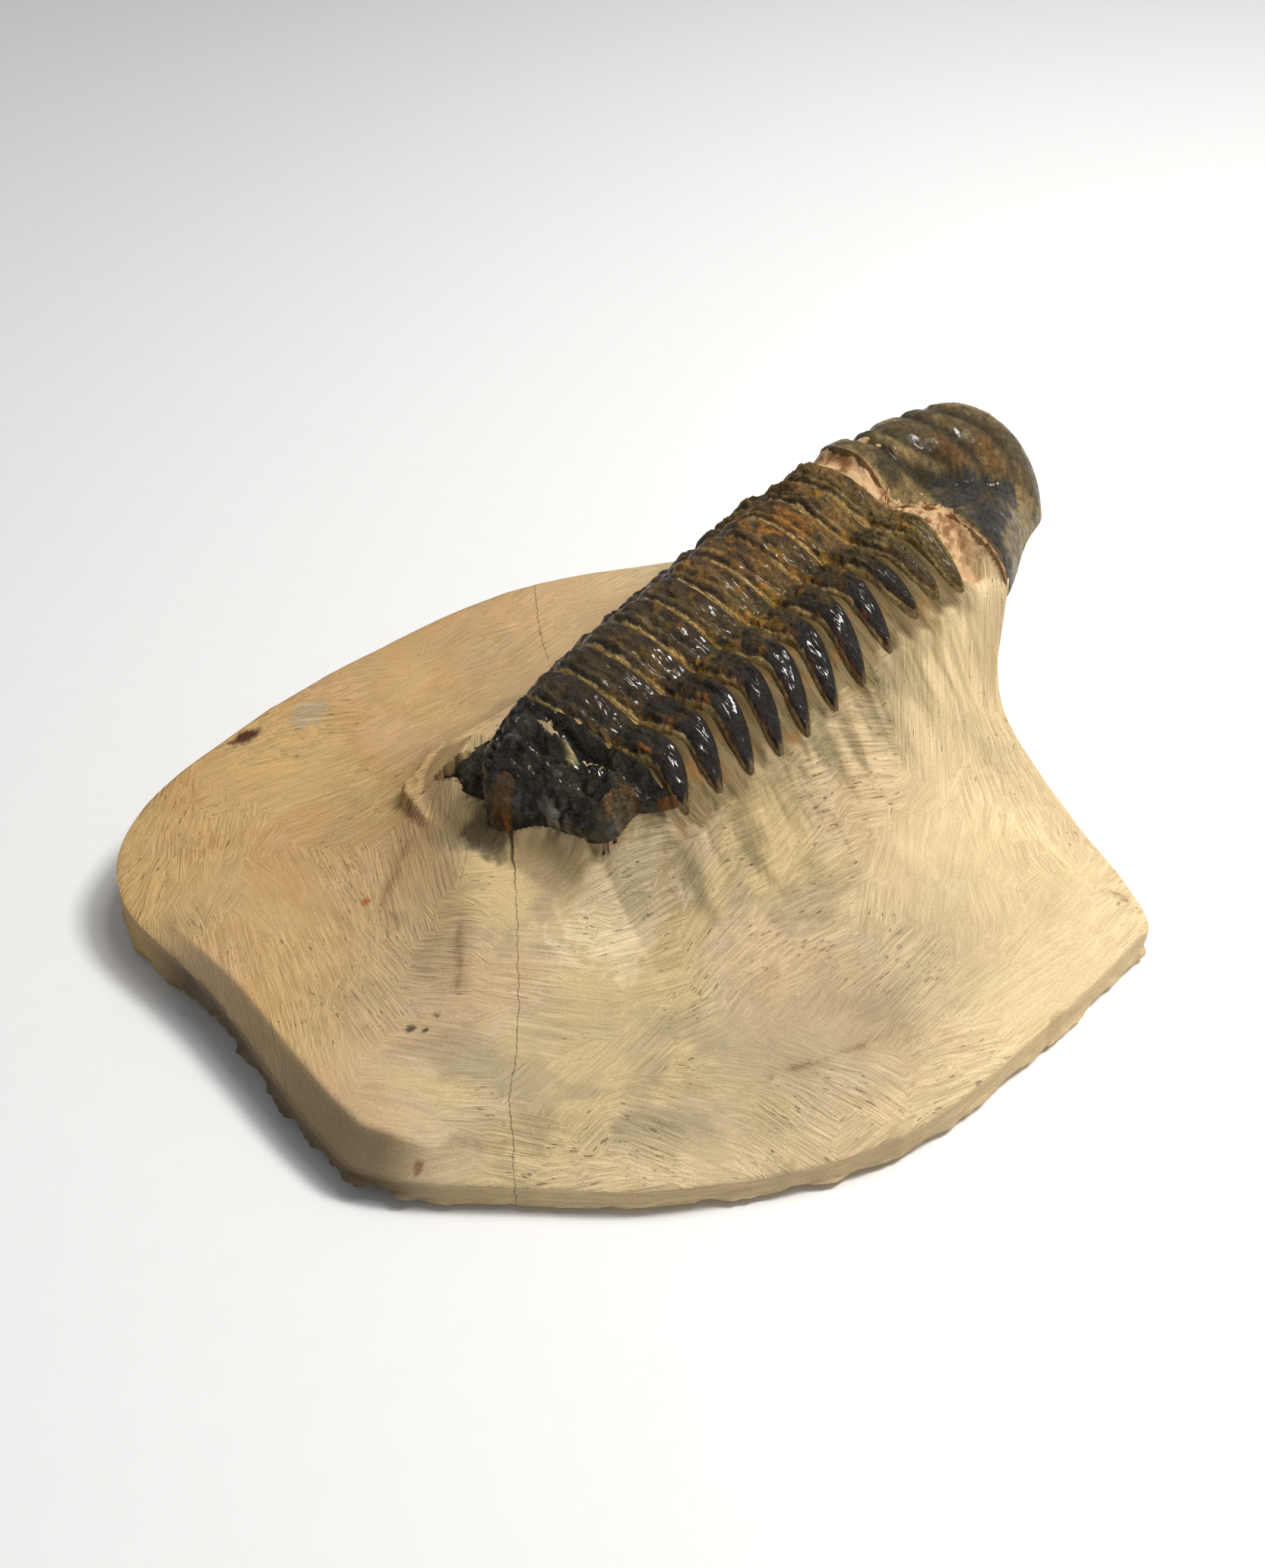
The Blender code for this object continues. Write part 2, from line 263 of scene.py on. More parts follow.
# %% Grids to skins
SHARP_ANGLE = math.radians(60)


def add_looks(mesh, looks):
    """Stores a value or a colour for each corner of the mesh."""
    for label, values in looks.items():
        values = np.asarray(values, np.float32)
        if label == "paint":
            values = np.column_stack([values, np.ones(len(values), np.float32)])
            kind, field = "FLOAT_COLOR", "color"
        else:
            kind, field = "FLOAT", "value"
        mesh.attributes.new(label, kind, "POINT").data.foreach_set(field, values.ravel())


def make_piece(name, points, faces, looks, node):
    """A smooth piece of the fossil that stands for a node of the solid model."""
    mesh = bpy.data.meshes.new(name)
    mesh.from_pydata((points - CENTRE) * MM, [], faces)
    mesh.shade_smooth()
    mesh.set_sharp_from_angle(angle=SHARP_ANGLE)
    add_looks(mesh, looks)
    piece = bpy.data.objects.new(name, mesh)
    bpy.context.scene.collection.objects.link(piece)
    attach(piece, "root")
    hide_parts(node)
    return piece


def grid(columns, rows):
    """Corners of a square grid from -1 to 1, its quads, and its border in order."""
    u, v = np.meshgrid(np.linspace(-1, 1, columns + 1), np.linspace(-1, 1, rows + 1))
    index = np.arange(u.size).reshape(rows + 1, columns + 1)
    quads = np.stack([index[:-1, :-1], index[:-1, 1:], index[1:, 1:], index[1:, :-1]], -1)
    border = np.concatenate([index[0, :-1], index[:-1, -1], index[-1, :0:-1], index[:0:-1, 0]])
    return u.ravel(), v.ravel(), quads.reshape(-1, 4), border


def make_shell(name, cells, outside, inside, node):
    """A closed shell: one grid on its outside, one on its inside, and a wall between them."""
    u, v, quads, border = grid(*cells)
    upper, looks = outside(u, v)
    lower = inside(u, v)
    after = np.roll(border, -1)
    wall = np.stack([border, border + u.size, after + u.size, after], -1)
    faces = np.vstack([quads, quads[:, ::-1] + u.size, wall])
    both = {label: np.concatenate([values, values]) for label, values in looks.items()}
    return make_piece(name, np.vstack([upper, lower]), faces.tolist(), both, node)


print("corners of a grid of 2 by 3 cells:", len(grid(2, 3)[0]))

# %% [markdown]
# ## Body segments
#
# Each segment is a ring over the middle lobe that runs out on both sides into a rib, bends
# down at the flank and tapers to a spine. The ring has a cross furrow with a row of pits.
# The shell is dark on the ribs, mottled brown and ochre over the back, and pale stone
# clings in the seams; painted shade darkens the pits of the furrow and a crease before the
# back seam. On a segment's grid, u runs from its back edge (-1) to its front edge (1), and v
# from the tip of the right spine (-1) to the tip of the left one (1).

# %% Segment surface
def segment_place(number, u, v):
    """Where the corners of a segment's grid lie, and a function that lifts them by a height."""
    front, back = SEAMS_X[number - 1:number + 1]
    reach = spine_reach(number) * np.where(v > 0, LEFT_REACH, 1.0)
    out = reach * np.abs(v) ** 0.9
    across = out * np.where(v > 0, left_share(number), -1.0)
    along_spine = np.clip((out - BEND_OUT) / (reach - BEND_OUT), 0, 1)
    narrowing = (1 - 0.24 * ease((out - 9.4) / 3.0)) * (1 - 0.82 * along_spine ** 3.2)
    bow = SEAM_BOW * np.clip(out / LOBE_HALF, 0, 1) ** 2
    middle = 0.5 * (front + back) + bow - spine_trail(number) * along_spine ** 1.4
    waver = 0.16 * rough(0.0, across, number * 4.0, 0.5, 2) * (1 - along_spine)
    x = middle + u * 0.5 * (front - back - SEAM) * narrowing + waver * (1 - u * u)

    def lifted(height):
        return np.column_stack(lean(x, across, height - body_drop(out), back_line(x)))

    return out, x, across, along_spine, lifted


def segment_zones(number, out):
    """How flaky the segment is, and how far a point lies on the ring and on the spine."""
    flaky = ease((4.4 - number) / 2.4)
    on_ring = ease((LOBE_HALF + 0.3 - out) / 1.2)
    on_spine = ease((out - 10.8) / 2.0)
    return flaky, on_ring, on_spine


print("reach of the spines, mm:", [round(float(spine_reach(n)), 1) for n in (1, 6, 11)])


# %% Segment relief
def segment_relief(number, u, out, x, across):
    """How high the shell stands over the plain body, and how deep its cross furrow is."""
    flaky, on_ring, on_spine = segment_zones(number, out)
    wander = rough(number * 9.1, across, 0.0, 0.35, 3)
    pits = noise(x * 0.4, across, number * 5.0, 1.7)
    furrow = bump((u + 0.30 + 0.12 * wander) / 0.17) * (0.15 + 1.2 * pits)
    ring = 0.70 * (1 - u ** 4) + 0.10 * u - 0.42 * furrow
    groove = bump((u - 0.05 + 0.1 * wander) / 0.18)
    groove = groove * ease(out - 7.2) * ease((12.9 - out) / 1.6)
    rib = (1 - np.abs(u) ** 3.6) ** 0.85 - 0.38 * groove
    relief = blend(rib, ring, on_ring) - 0.15 * bump((out - 7.5) / 0.6) * (1 - u ** 2)
    fade = 1 - u ** 8
    lumps = rough(x, across * 0.6, number * 3.0, 0.75, 3)
    wrinkles = rough(x * 1.2, across * 0.5, number * 23.0, 1.9, 3)
    flakes = rough(x, across, number * 7.0, 1.3, 4)
    relief = relief + fade * lumps * blend(0.26, 0.13, on_spine)
    relief = relief + fade * wrinkles * blend(0.10, 0.09, on_spine)
    relief = relief + fade * flakes * (0.04 + 0.16 * flaky) * (1 - 0.5 * on_spine)
    return relief, furrow


MIDDLE = np.zeros(1)
ring_rise, _ = segment_relief(6, MIDDLE, MIDDLE, MIDDLE, MIDDLE)
print("ring 6 stands proud, mm:", round(float(ring_rise[0]), 2))

# %% Segment paint
# How strong a colour is, by the segment's number.
OLIVE_BACK = (1, 3, 5, 7, 9, 11), (1.0, 0.95, 0.8, 0.65, 0.3, 0.15)
ORANGE_RINGS = (1, 2, 3, 4, 5, 7), (0.15, 0.25, 0.6, 0.8, 0.25, 0.0)
HORN_SPINES = (1, 2, 3, 4), (0.9, 0.6, 0.2, 0.0)
BLACK_SPINES = (1, 2, 3, 4), (0.08, 0.4, 0.78, 0.92)
GOLD_SIDES = (1, 4, 8, 11), (0.35, 0.7, 0.6, 0.4)
ORANGE_BENDS = (1, 7, 9, 11), (0.15, 0.25, 0.55, 0.55)
RED_TIPS = (1, 3, 4, 7, 9), (0.1, 0.2, 0.6, 0.5, 0.15)
ADDED_GLOSS = (1, 6, 9, 11), (-0.1, 0.0, 0.12, 0.15)
SEGMENT_SPECKS = 0.18
print("olive, by segment:", dict(zip(*OLIVE_BACK)))


def segment_paint(number, u, out, x, across, along_spine, furrow):
    """The shell's colours and gloss, from where a point lies on its segment."""
    flaky, on_ring, on_spine = segment_zones(number, out)
    spots = noise(x, across, number * 2.0, 2.3)
    cloud = ease(0.5 + 0.9 * rough(x, across, number * 11.0, 0.45, 4))
    speck = rough(x, across, number * 13.0, 3.0, 3)
    tone = np.interp(number, *OLIVE_BACK)
    crest = bump((across + 1.0) / 6.5)
    back_band = ease((-0.05 - u) / 0.4) * on_ring
    front_band = ease((u - 0.1) / 0.4) * on_ring
    on_rib = ease((out - 6.0) / 2.0) * (1 - 0.7 * flaky)
    hot_crest = bump((across + 2.5) / 4.0) * ease(1.5 * cloud - 0.45 + 0.5 * speck)
    fibres = noise(u * 5.0, out * 0.25, number * 29.0, 1.0)
    horn = layered(HORN, [(PALE_HORN, ease(2.2 * fibres - 0.6))])
    ochre = flaky * ease(1.8 * (noise(x, across, 3.0 * number, 0.9) - 0.5))
    edge_noise = 0.06 * rough(x * 0.2, across, number * 17.0, 1.6, 3)
    back_edge = ease((-0.88 - u + edge_noise) / 0.06)
    front_edge = ease((u - 0.955 + edge_noise) / 0.05)
    seam = np.maximum(back_edge, 0.6 * front_edge)
    seam_strength = (0.8 + 0.4 * noise(x * 0.3, across, 7.0, 0.9)) * (1 - 0.35 * on_spine)
    # Painted shade in the crease just before the back seam.
    seam_crease_shade = bump((u + 0.78 - edge_noise) / 0.13) * (1 - seam)
    side_patch = bump((out - 6.9) / 1.8) * ease((-0.45 - u) / 0.35) * ease(2.2 * spots - 0.55)
    fleck = ease(4.0 * noise(x, across, number * 31.0, 1.1) - 2.6) * (1 - on_spine)
    bend = bump(out - 11.2) * ease((-0.25 - u) / 0.4) * ease(3 * spots - 1.1)
    tip = ease(out - 13.2) * ease((-0.50 - u) / 0.25) * ease(2.5 * spots - 0.6)
    pale_rim = ease((out - 8.0) / 2.0) * ease((np.abs(u) - 0.88) / 0.1) * ease(2.4 * spots - 0.7)
    paint = layered(DARK, [
        (OLIVE, tone * (0.35 + 0.65 * cloud) * (1 - 0.75 * on_spine)),
        (DARK, 0.75 * front_band * (1 - flaky)),
        (DARK, 0.7 * on_rib),
        (KHAKI, back_band * crest * tone * (0.15 + 0.45 * cloud)),
        (RUST, 0.25 * crest * on_ring * (1 - cloud) * tone),
        (ORANGE, np.clip(np.interp(number, *ORANGE_RINGS) * hot_crest, 0, 0.9)),
        (horn, ease((out - 8.5) / 2.5) * np.interp(number, *HORN_SPINES)),
        (SPINE_BLACK, on_spine * np.interp(number, *BLACK_SPINES)),
        (TAN, ochre * (0.6 - 0.3 * on_spine)),
        # Painted shade in the pits of the cross furrow.
        (NEAR_BLACK, np.clip(0.8 * furrow - 0.15, 0, 0.75) * (1 - on_spine)),
        (PALE_SEAM, np.clip(seam * seam_strength, 0, 1)),
        # Painted shade before the back seam.
        (NEAR_BLACK, 0.75 * seam_crease_shade * (1 - 0.6 * on_spine)),
        (GOLD, side_patch * np.interp(number, *GOLD_SIDES)),
        (GOLD, 0.45 * fleck * tone),
        (ORANGE, bend * np.interp(number, *ORANGE_BENDS)),
        (RED_BROWN, tip * np.interp(number, *RED_TIPS)),
        (TAN, 0.6 * pale_rim),
        (TAN, 0.6 * ease((along_spine - 0.95) / 0.05)),
    ])
    gloss = blend(0.62, 0.88, on_spine) * (1 - 0.45 * flaky) * (1 - 0.9 * seam)
    gloss = gloss + np.interp(number, *ADDED_GLOSS) * (1 - seam)
    return speckled(paint, speck, SEGMENT_SPECKS, gloss)


# %% Segment pieces
SEGMENT_CELLS = (34, 240)


def segment_outside(number):
    """The carved outside of one body segment and its paint."""

    def at(u, v):
        out, x, across, along_spine, lifted = segment_place(number, u, v)
        relief, furrow = segment_relief(number, u, out, x, across)
        return lifted(relief), segment_paint(number, u, out, x, across, along_spine, furrow)

    return at


def segment_inside(number):
    """The plain underside of one body segment."""

    def at(u, v):
        lifted = segment_place(number, u, v)[-1]
        return lifted(np.full(len(u), -SHELL))

    return at


segments = []
for number in range(1, SEGMENTS + 1):
    name, node = f"segment_{number:02d}", f"thoracic_segment_{number:02d}"
    outside, inside = segment_outside(number), segment_inside(number)
    segments.append(make_shell(name, SEGMENT_CELLS, outside, inside, node))
print("segments:", len(segments), "faces each:", len(segments[0].data.polygons))

# %% [markdown]
# ## Head shield
#
# The head is one shell: a swollen middle with soft cross furrows, a dark cheek beside it, and
# an outer cheek with the eye. Its back edge is broken and flaky where stone still clings. Its
# shape is drawn on a half disc: forward is 0 at the back edge and 1 at the nose, and side runs
# from -1 on the right to 1 on the left.

# %% Head layout
HEAD_BACK_X = 32.9
HEAD_LENGTH = 26.8
HEAD_CREST_Z = 29.9
HEAD_TURN = math.radians(-8.0)
HEAD_BOW = 4.6
HEAD_DIP = 0.13
BACK_RIM_DROP = 14.0
FRONT_RIM_DROP = 9.9
CHEEK_RISE = 8.5
HEAD_CELLS = (120, 170)
# Bulges and a hollow: how far forward and out from the middle, in millimetres.
FOREHEAD = (17.0, 0.0)
EYE = (15.6, 10.6)
CHEEK_HOLLOW = (9.5, 11.9)

head_width = smooth_curve([
    (0, 18.2), (0.21, 15.8), (0.46, 13.4), (0.64, 13.0), (0.82, 14.0), (1, 15.0),
])
glabella_width = smooth_curve([(0, 6.6), (0.25, 6.9), (0.6, 9.0), (0.85, 9.2), (1, 8.6)])

# Furrows of the head: corners forward of its back edge and out from its middle, depth, width.
HEAD_FURROWS = [
    ([(3.9, 0.0), (4.0, 1.1), (4.0, 2.5), (4.1, 3.9), (5.1, 4.9), (7.2, 5.8)], 0.85, 0.9),
    ([(6.4, 1.5), (6.6, 2.6), (7.5, 3.7), (8.7, 4.6), (9.9, 5.9)], 0.5, 0.9),
    ([(11.7, 0.4), (11.8, 3.2), (12.6, 4.8), (13.2, 6.1), (13.2, 7.4)], 0.5, 1.1),
    ([(15.2, 1.0), (15.7, 2.9), (16.8, 4.6), (17.6, 6.1), (17.3, 7.2)], 0.42, 1.1),
]
# The dark inner cheek, as forward and out from the middle.
DARK_CHEEK = [
    (6.2, 5.5), (7.7, 5.5), (11.9, 6.8), (14.2, 7.8), (16.4, 8.5), (14.4, 10.0), (11.6, 11.2),
    (7.4, 13.4), (3.7, 15.6), (0.8, 17.3), (0.4, 16.4), (1.2, 14.5), (2.0, 12.0), (2.6, 9.6),
    (3.6, 7.4), (6.2, 5.5),
]
print("head, mm: length", HEAD_LENGTH, "half width at the back", float(head_width(0.0)))


# %% Head surface
def turned(x, y, angle, hinge_x):
    """Swings a point of a head or tail shield sideways about its hinge on the back line."""
    cos, sin = math.cos(angle), math.sin(angle)
    return hinge_x + x * cos - y * sin, MIDDLE_Y + x * sin + y * cos


def half_disc(u, v):
    """Maps a square onto a half disc, as forward and side, with more of it near the rim."""
    forward = 0.5 * (u + 1)
    forward, side = forward * np.sqrt(1 - 0.5 * v ** 2), v * np.sqrt(1 - 0.5 * forward ** 2)
    radius = np.hypot(forward, side)
    factor = np.sin(0.5 * math.pi * np.clip(radius, 0, 1)) / np.maximum(radius, 1e-6)
    return forward * factor, side * factor


def rim_drop(forward):
    """How far the head's rim lies below its crest."""
    return BACK_RIM_DROP + (FRONT_RIM_DROP - BACK_RIM_DROP) * forward


def cheek_height(forward, side):
    """The plain cheek: 0 would be as high as the head's crest."""
    spread = np.clip(1 - forward ** 2 - side ** 2, 0, 1)
    return CHEEK_RISE * spread ** 0.45 - rim_drop(forward)


def glabella_height(forward, out):
    """The swollen middle of the head."""
    across = np.clip(1 - np.abs(out / glabella_width(forward)) ** 2.4, 0, 1)
    along = 1 - share(forward, 0.66, 1.0) ** 2.4
    rise = rim_drop(forward) + 0.9 * np.sin(math.pi * np.clip(forward, 0, 1))
    return rise * np.sqrt(across * along) - rim_drop(forward)


def head_at(forward, side, height):
    """Places a point of the head at a height over its crest line."""
    along = HEAD_LENGTH * forward
    out = side * head_width(forward)
    bow = HEAD_BOW * np.clip(np.abs(out) / 12.0, 0, 1) ** 1.3 * (1 - forward)
    x, y, z = lean(along + bow, out, height, HEAD_CREST_Z - HEAD_DIP * along)
    return np.column_stack(turned(x, y - MIDDLE_Y, HEAD_TURN, HEAD_BACK_X) + (z,))


print("nose at, mm:", [round(float(c), 1) for c in head_at(1.0, 0.0, -rim_drop(1.0))[0]])


# %% Head relief
def inside_shape(x, y, corners):
    """True for points within a closed outline."""
    crossings = np.zeros(np.shape(x), int)
    for (ax, ay), (bx, by) in zip(corners[:-1], corners[1:]):
        spans = (ay > y) != (by > y)
        crossings += spans & (x < ax + (bx - ax) * (y - ay) / ((by - ay) or 1e-9))
    return crossings % 2 == 1


def head_relief(forward, side):
    """The carved head, and what the paint asks of each point: where it is and what lies there."""
    along, out = HEAD_LENGTH * forward, np.abs(side) * head_width(forward)
    from_middle = np.hypot(forward, side)
    cheek, middle = cheek_height(forward, side), glabella_height(forward, out)
    height = soft_max(cheek, middle, 0.9) + 0.5
    height = height + 0.6 * bump(np.hypot((along - FOREHEAD[0]) / 7.0, (out - FOREHEAD[1]) / 6.0))
    rounded = (1 - np.clip(from_middle, 0, 1) ** 14) ** 0.4
    at_nose = ease((forward - 0.3) / 0.3)
    height = height - (height + rim_drop(forward)) * (1 - rounded) * at_nose
    furrow = np.zeros(len(forward))
    for corners, depth, width in HEAD_FURROWS:
        away, _ = line_distance(along, out, corners)
        height = height - depth * bump(away / width)
        # How strong the painted shade in each furrow is.
        furrow = np.maximum(furrow, depth * 1.9 * bump(away / (0.7 * width)))
    rim_fade = ease((1 - from_middle) * 6)
    height = height + 0.9 * bump(np.hypot(along - EYE[0], out - EYE[1]) / 2.2) * rim_fade
    hollow = bump(np.hypot(along - CHEEK_HOLLOW[0], out - CHEEK_HOLLOW[1]) / 1.6)
    height = height - 0.5 * hollow * rim_fade
    x, y, z = head_at(forward, side, height).T
    on_middle = ease((middle - cheek) / 2)
    border = ease((2.8 - along) / 2.2) * ease((out - 3.0) / 2.0)
    height = height + rim_fade * (0.12 + 0.34 * (1 - on_middle)) * rough(x, y, z, 0.42, 4)
    height = height + 0.22 * border * rough(x, y, z, 1.0, 4)
    height = height + 0.05 * rough(x, y, z, 1.6, 4) * rim_fade
    return head_at(forward, side, height), (along, out, x, y, z, on_middle, border, furrow)


print("furrows on the head:", len(HEAD_FURROWS))

# %% Head paint
HEAD_OLIVE = srgb(84, 75, 53)
HEAD_KHAKI = srgb(142, 122, 82)
HEAD_BROWN = srgb(116, 88, 48)
WARM_BROWN = srgb(132, 84, 34)
FURROW_SHADE = srgb(44, 40, 28)
BACK_DARK = srgb(52, 46, 34)
OUTER_CHEEK = srgb(112, 96, 62)
CORNER_GREEN = srgb(40, 44, 36)
FLAKE_BROWN = srgb(92, 66, 44)
BROKEN_STONE = srgb(178, 142, 104)
HEAD_SPECKS = 0.22
print("corners of the dark cheek:", len(DARK_CHEEK) - 1)


def head_paint(along, out, x, y, z, on_middle, border, furrow):
    """The head's colours and gloss."""
    cloud = ease(0.5 + 0.8 * rough(x, y, z, 0.16, 4))
    streak = ease(0.5 + 0.9 * rough(x * 0.35, y, z, 0.55, 4))
    speck = rough(x, y, z, 2.6, 3)
    warm = bump(np.hypot(along - 15.7, out - 5.9) / 2.4)
    warm = warm + bump(np.hypot(along - 10.4, out - 5.3) / 1.5)
    back = ease((4.6 - along) / 1.5) * ease(7.0 - out)
    away, _ = line_distance(along, out, DARK_CHEEK)
    into_cheek = np.where(inside_shape(along, out, DARK_CHEEK), away, -away)
    dark = ease(0.5 + into_cheek / 0.6 + 0.7 * rough(x, y, z, 0.8, 4))
    outer = ease((out - 9.2) / 1.6) * ease((along - 3.5) / 2.0) * (1 - dark) * (1 - on_middle)
    corner = ease((5.5 - along) / 3.0) * ease((out - 14.0) / 2.0)
    flakes = border * ease(0.5 + 1.6 * rough(x, y, z, 0.9, 3))
    broken = ease((0.45 - along) / 0.3) * ease((out - 2.0) / 2.0)
    paint = layered(HEAD_OLIVE, [
        (HEAD_KHAKI, ease(0.5 + 1.1 * rough(x, y, z, 0.3, 5))),
        (HEAD_BROWN, 0.2 * ease(1.8 * streak - 0.9) * on_middle),
        (WARM_BROWN, np.clip(0.5 * warm, 0, 0.6) * (0.3 + 0.7 * streak)),
        # Painted shade in the head's furrows.
        (FURROW_SHADE, np.clip(0.85 * furrow, 0, 0.85)),
        (BACK_DARK, 0.6 * back * (1 - streak)),
        (BLUE_GREY, 0.95 * dark * (0.8 + 0.2 * streak)),
        (OUTER_CHEEK, 0.7 * outer * (0.4 + 0.6 * streak)),
        (CORNER_GREEN, 0.8 * corner),
        (FLAKE_BROWN, 0.75 * flakes),
        (PALE_SEAM, 0.8 * border * ease((0.9 - along) / 0.8) * (1 - flakes)),
        (BROKEN_STONE, 0.9 * broken),
    ])
    gloss = 0.6 + 0.3 * dark - 0.2 * border - 0.1 * cloud
    return speckled(paint, speck, HEAD_SPECKS, gloss)


# %% [markdown]
# Under its back right corner the head is still full of stone. The shell sags there, thicker
# than elsewhere, so that no light shows between the corner and the block.

# %% Head piece
def head_outside(u, v):
    """The carved outside of the head and its paint."""
    points, spots = head_relief(*half_disc(u, v))
    return points, head_paint(*spots)


def head_inside(u, v):
    """The underside of the head, sagging where stone clings."""
    forward, side = half_disc(u, v)
    clinging = ease((0.40 - forward) / 0.2) * ease((-side - 0.30) / 0.25)
    at_rim = np.sqrt(np.clip(1 - np.hypot(forward, side) ** 12, 0, 1))
    return head_at(forward, side, cheek_height(forward, side) - 0.6 - 4.5 * clinging * at_rim)


head = make_shell("head_shield", HEAD_CELLS, head_outside, head_inside, "cephalon")
print("head faces:", len(head.data.polygons))

# %% [markdown]
# ## Tail shield
#
# The tail is small, lumpy and almost black, with short blunt spines round its edge. Most of
# its left half is lost in the stone. One spine on the left is broken to a brown tongue, and
# the rib on the right ends in a pale hook. Such marks are placed by their distance from a
# point or a short line on the shield.

# %% Tail layout
TAIL_LENGTH = 6.3
TAIL_HALF = 15.0
TAIL_LEFT_SHARE = 0.4
TAIL_DROP = 5.2
TAIL_SIDE_DROP = 2.4
TAIL_TURN = math.radians(-2.0)
TAIL_CELLS = (96, 150)
TAIL_RIBS = 3.4
TAIL_SPINES = 7.5          # waves of the outline to a turn
LONG_SPINE_ANGLE = -1.08   # where the long left spine stands, in radians from the tail's tip
# Marks, as places on the shield or lines between two of them.
TONGUE = ((-18.0, 6.1, 16.6), (-18.9, 6.1, 12.4))
CHIP = ((-12.9, 2.6, 20.6), (-14.0, 1.4, 19.4))
HOOK = (-14.1, -4.9, 17.9)
PALE_SPOT = (-17.2, 0.4, 15.2)
print("tail, mm: length", TAIL_LENGTH, "half width", TAIL_HALF)


# %% Tail surface
def span_distance(points, start, end):
    """How far each point lies from the straight line between two places."""
    start, end = np.array(start), np.array(end)
    run = end - start
    t = np.clip((points - start) @ run / (run @ run), 0, 1)
    return np.linalg.norm(points - start - t[:, None] * run, axis=1)


def tail_height(backward, side):
    """The plain tail shield: 0 would be as high as the back line."""
    edge = np.clip(1 - backward ** 2 - side ** 2, 0, 1) ** 0.5
    rim = TAIL_DROP + TAIL_SIDE_DROP * np.clip(side, 0, 1) ** 2
    full = -body_drop(TAIL_HALF * np.abs(side))
    return (full + rim) * ease(edge * 1.6) - rim


def tail_at(backward, side, height):
    """Places a point of the tail; its outline ends in blunt spines, with a long one on the left."""
    angle = np.arctan2(side, backward)
    spread = 1 + 0.1 * np.cos(TAIL_SPINES * angle) + 1.1 * bump((angle - LONG_SPINE_ANGLE) / 0.2)
    across = -TAIL_HALF * side * spread * np.where(side < 0, TAIL_LEFT_SHARE, 1.0)
    bow = SEAM_BOW * np.clip(np.abs(across) / LOBE_HALF, 0, 1) ** 2 * (1 - backward)
    along = bow - TAIL_LENGTH * backward * spread
    x, y, z = lean(along, across, height, back_line(TAIL_FRONT_X + along))
    return np.column_stack(turned(x, y - MIDDLE_Y, TAIL_TURN, TAIL_FRONT_X) + (z,))


print("tail's tip at, mm:", [round(float(c), 1) for c in tail_at(1.0, 0.0, -TAIL_DROP)[0]])


# %% Tail relief
def tail_relief(backward, side):
    """The carved tail, and what the paint asks of each point."""
    fade = ease((1 - np.hypot(backward, side)) * 5)
    ribs = 0.38 * np.cos(2 * math.pi * backward * TAIL_RIBS) * fade
    height = tail_height(backward, side) + 0.6 + ribs
    base = tail_at(backward, side, height)
    x, y, z = base.T
    on_tongue = ease((1.15 - span_distance(base, *TONGUE)) / 0.35)
    to_hook = np.linalg.norm(base - HOOK, axis=1)
    hook_ring = bump((to_hook - 1.35) / 0.45)
    knobs = rough(x, y, z, 0.5, 3)
    folds = np.abs(rough(x, y, z, 0.95, 3))
    height = height + (0.10 + 0.42 * fade) * knobs * (1 - on_tongue)
    height = height - (0.15 + 0.45 * fade) * folds * (1 - on_tongue)
    height = height + 0.12 * rough(x, y, z, 2.2, 3) + 0.45 * hook_ring + 0.35 * on_tongue
    return tail_at(backward, side, height), (base, side, knobs, on_tongue, to_hook, hook_ring)


tail_end, _ = tail_relief(np.ones(1), np.zeros(1))
print("carved tail's end at, mm:", [round(float(c), 1) for c in tail_end[0]])

# %% Tail paint
TAIL_BROWN = srgb(50, 44, 34)
KNOB_OLIVE = srgb(66, 60, 46)
DUSTY_GREY = srgb(142, 138, 126)
CHIP_CREAM = srgb(176, 162, 118)
HOOK_TAN = srgb(118, 88, 52)
HOOK_MIDDLE = srgb(96, 84, 60)
END_ORANGE = srgb(140, 84, 40)
TONGUE_BROWN = srgb(104, 78, 48)
TONGUE_DARK = srgb(66, 40, 24)
TAIL_SPECKS = 0.3
print("near black as light levels:", [round(float(level), 3) for level in NEAR_BLACK])


def tail_paint(base, side, knobs, on_tongue, to_hook, hook_ring):
    """The tail's colours and gloss."""
    x, y, z = base.T
    streak = ease(0.5 + rough(x, y, z, 0.9, 4))
    speck = rough(x, y, z, 3.0, 3)
    pale = bump(np.linalg.norm(base - PALE_SPOT, axis=1) / 1.6)
    grey = 0.5 * ease(1.9 * noise(x, y, z, 0.8) - 1.25) + pale * ease(streak * 1.6)
    chip = bump(span_distance(base, *CHIP) / 0.4)
    inside_hook = ease((1.25 - to_hook) / 0.4)
    end_ring = ease((side - 0.96) / 0.03) * ease(2 * streak - 0.4)
    low_tongue = on_tongue * ease((14.0 - z) / 1.5)
    paint = layered(NEAR_BLACK, [
        (TAIL_BROWN, 0.8 * streak),
        (KNOB_OLIVE, 0.7 * ease(1.5 * knobs)),
        (DUSTY_GREY, np.clip(0.75 * grey, 0, 0.85)),
        (CHIP_CREAM, np.clip(1.2 * chip, 0, 0.95)),
        (HOOK_TAN, np.clip(0.8 * hook_ring, 0, 0.75) * (0.4 + 0.6 * streak)),
        (HOOK_MIDDLE, inside_hook * (0.35 + 0.5 * streak)),
        (END_ORANGE, 0.8 * end_ring),
        (TONGUE_BROWN, 0.92 * on_tongue),
        (TONGUE_DARK, 0.8 * low_tongue),
        (ORANGE, 0.75 * low_tongue * ease((5.9 - y) / 0.4)),
    ])
    gloss = 0.85 - 0.6 * np.clip(hook_ring + inside_hook + chip, 0, 1) - 0.25 * on_tongue
    return speckled(paint, speck, TAIL_SPECKS, gloss)


# %% Tail piece
def tail_outside(u, v):
    """The carved outside of the tail and its paint."""
    points, spots = tail_relief(*half_disc(u, v))
    return points, tail_paint(*spots)


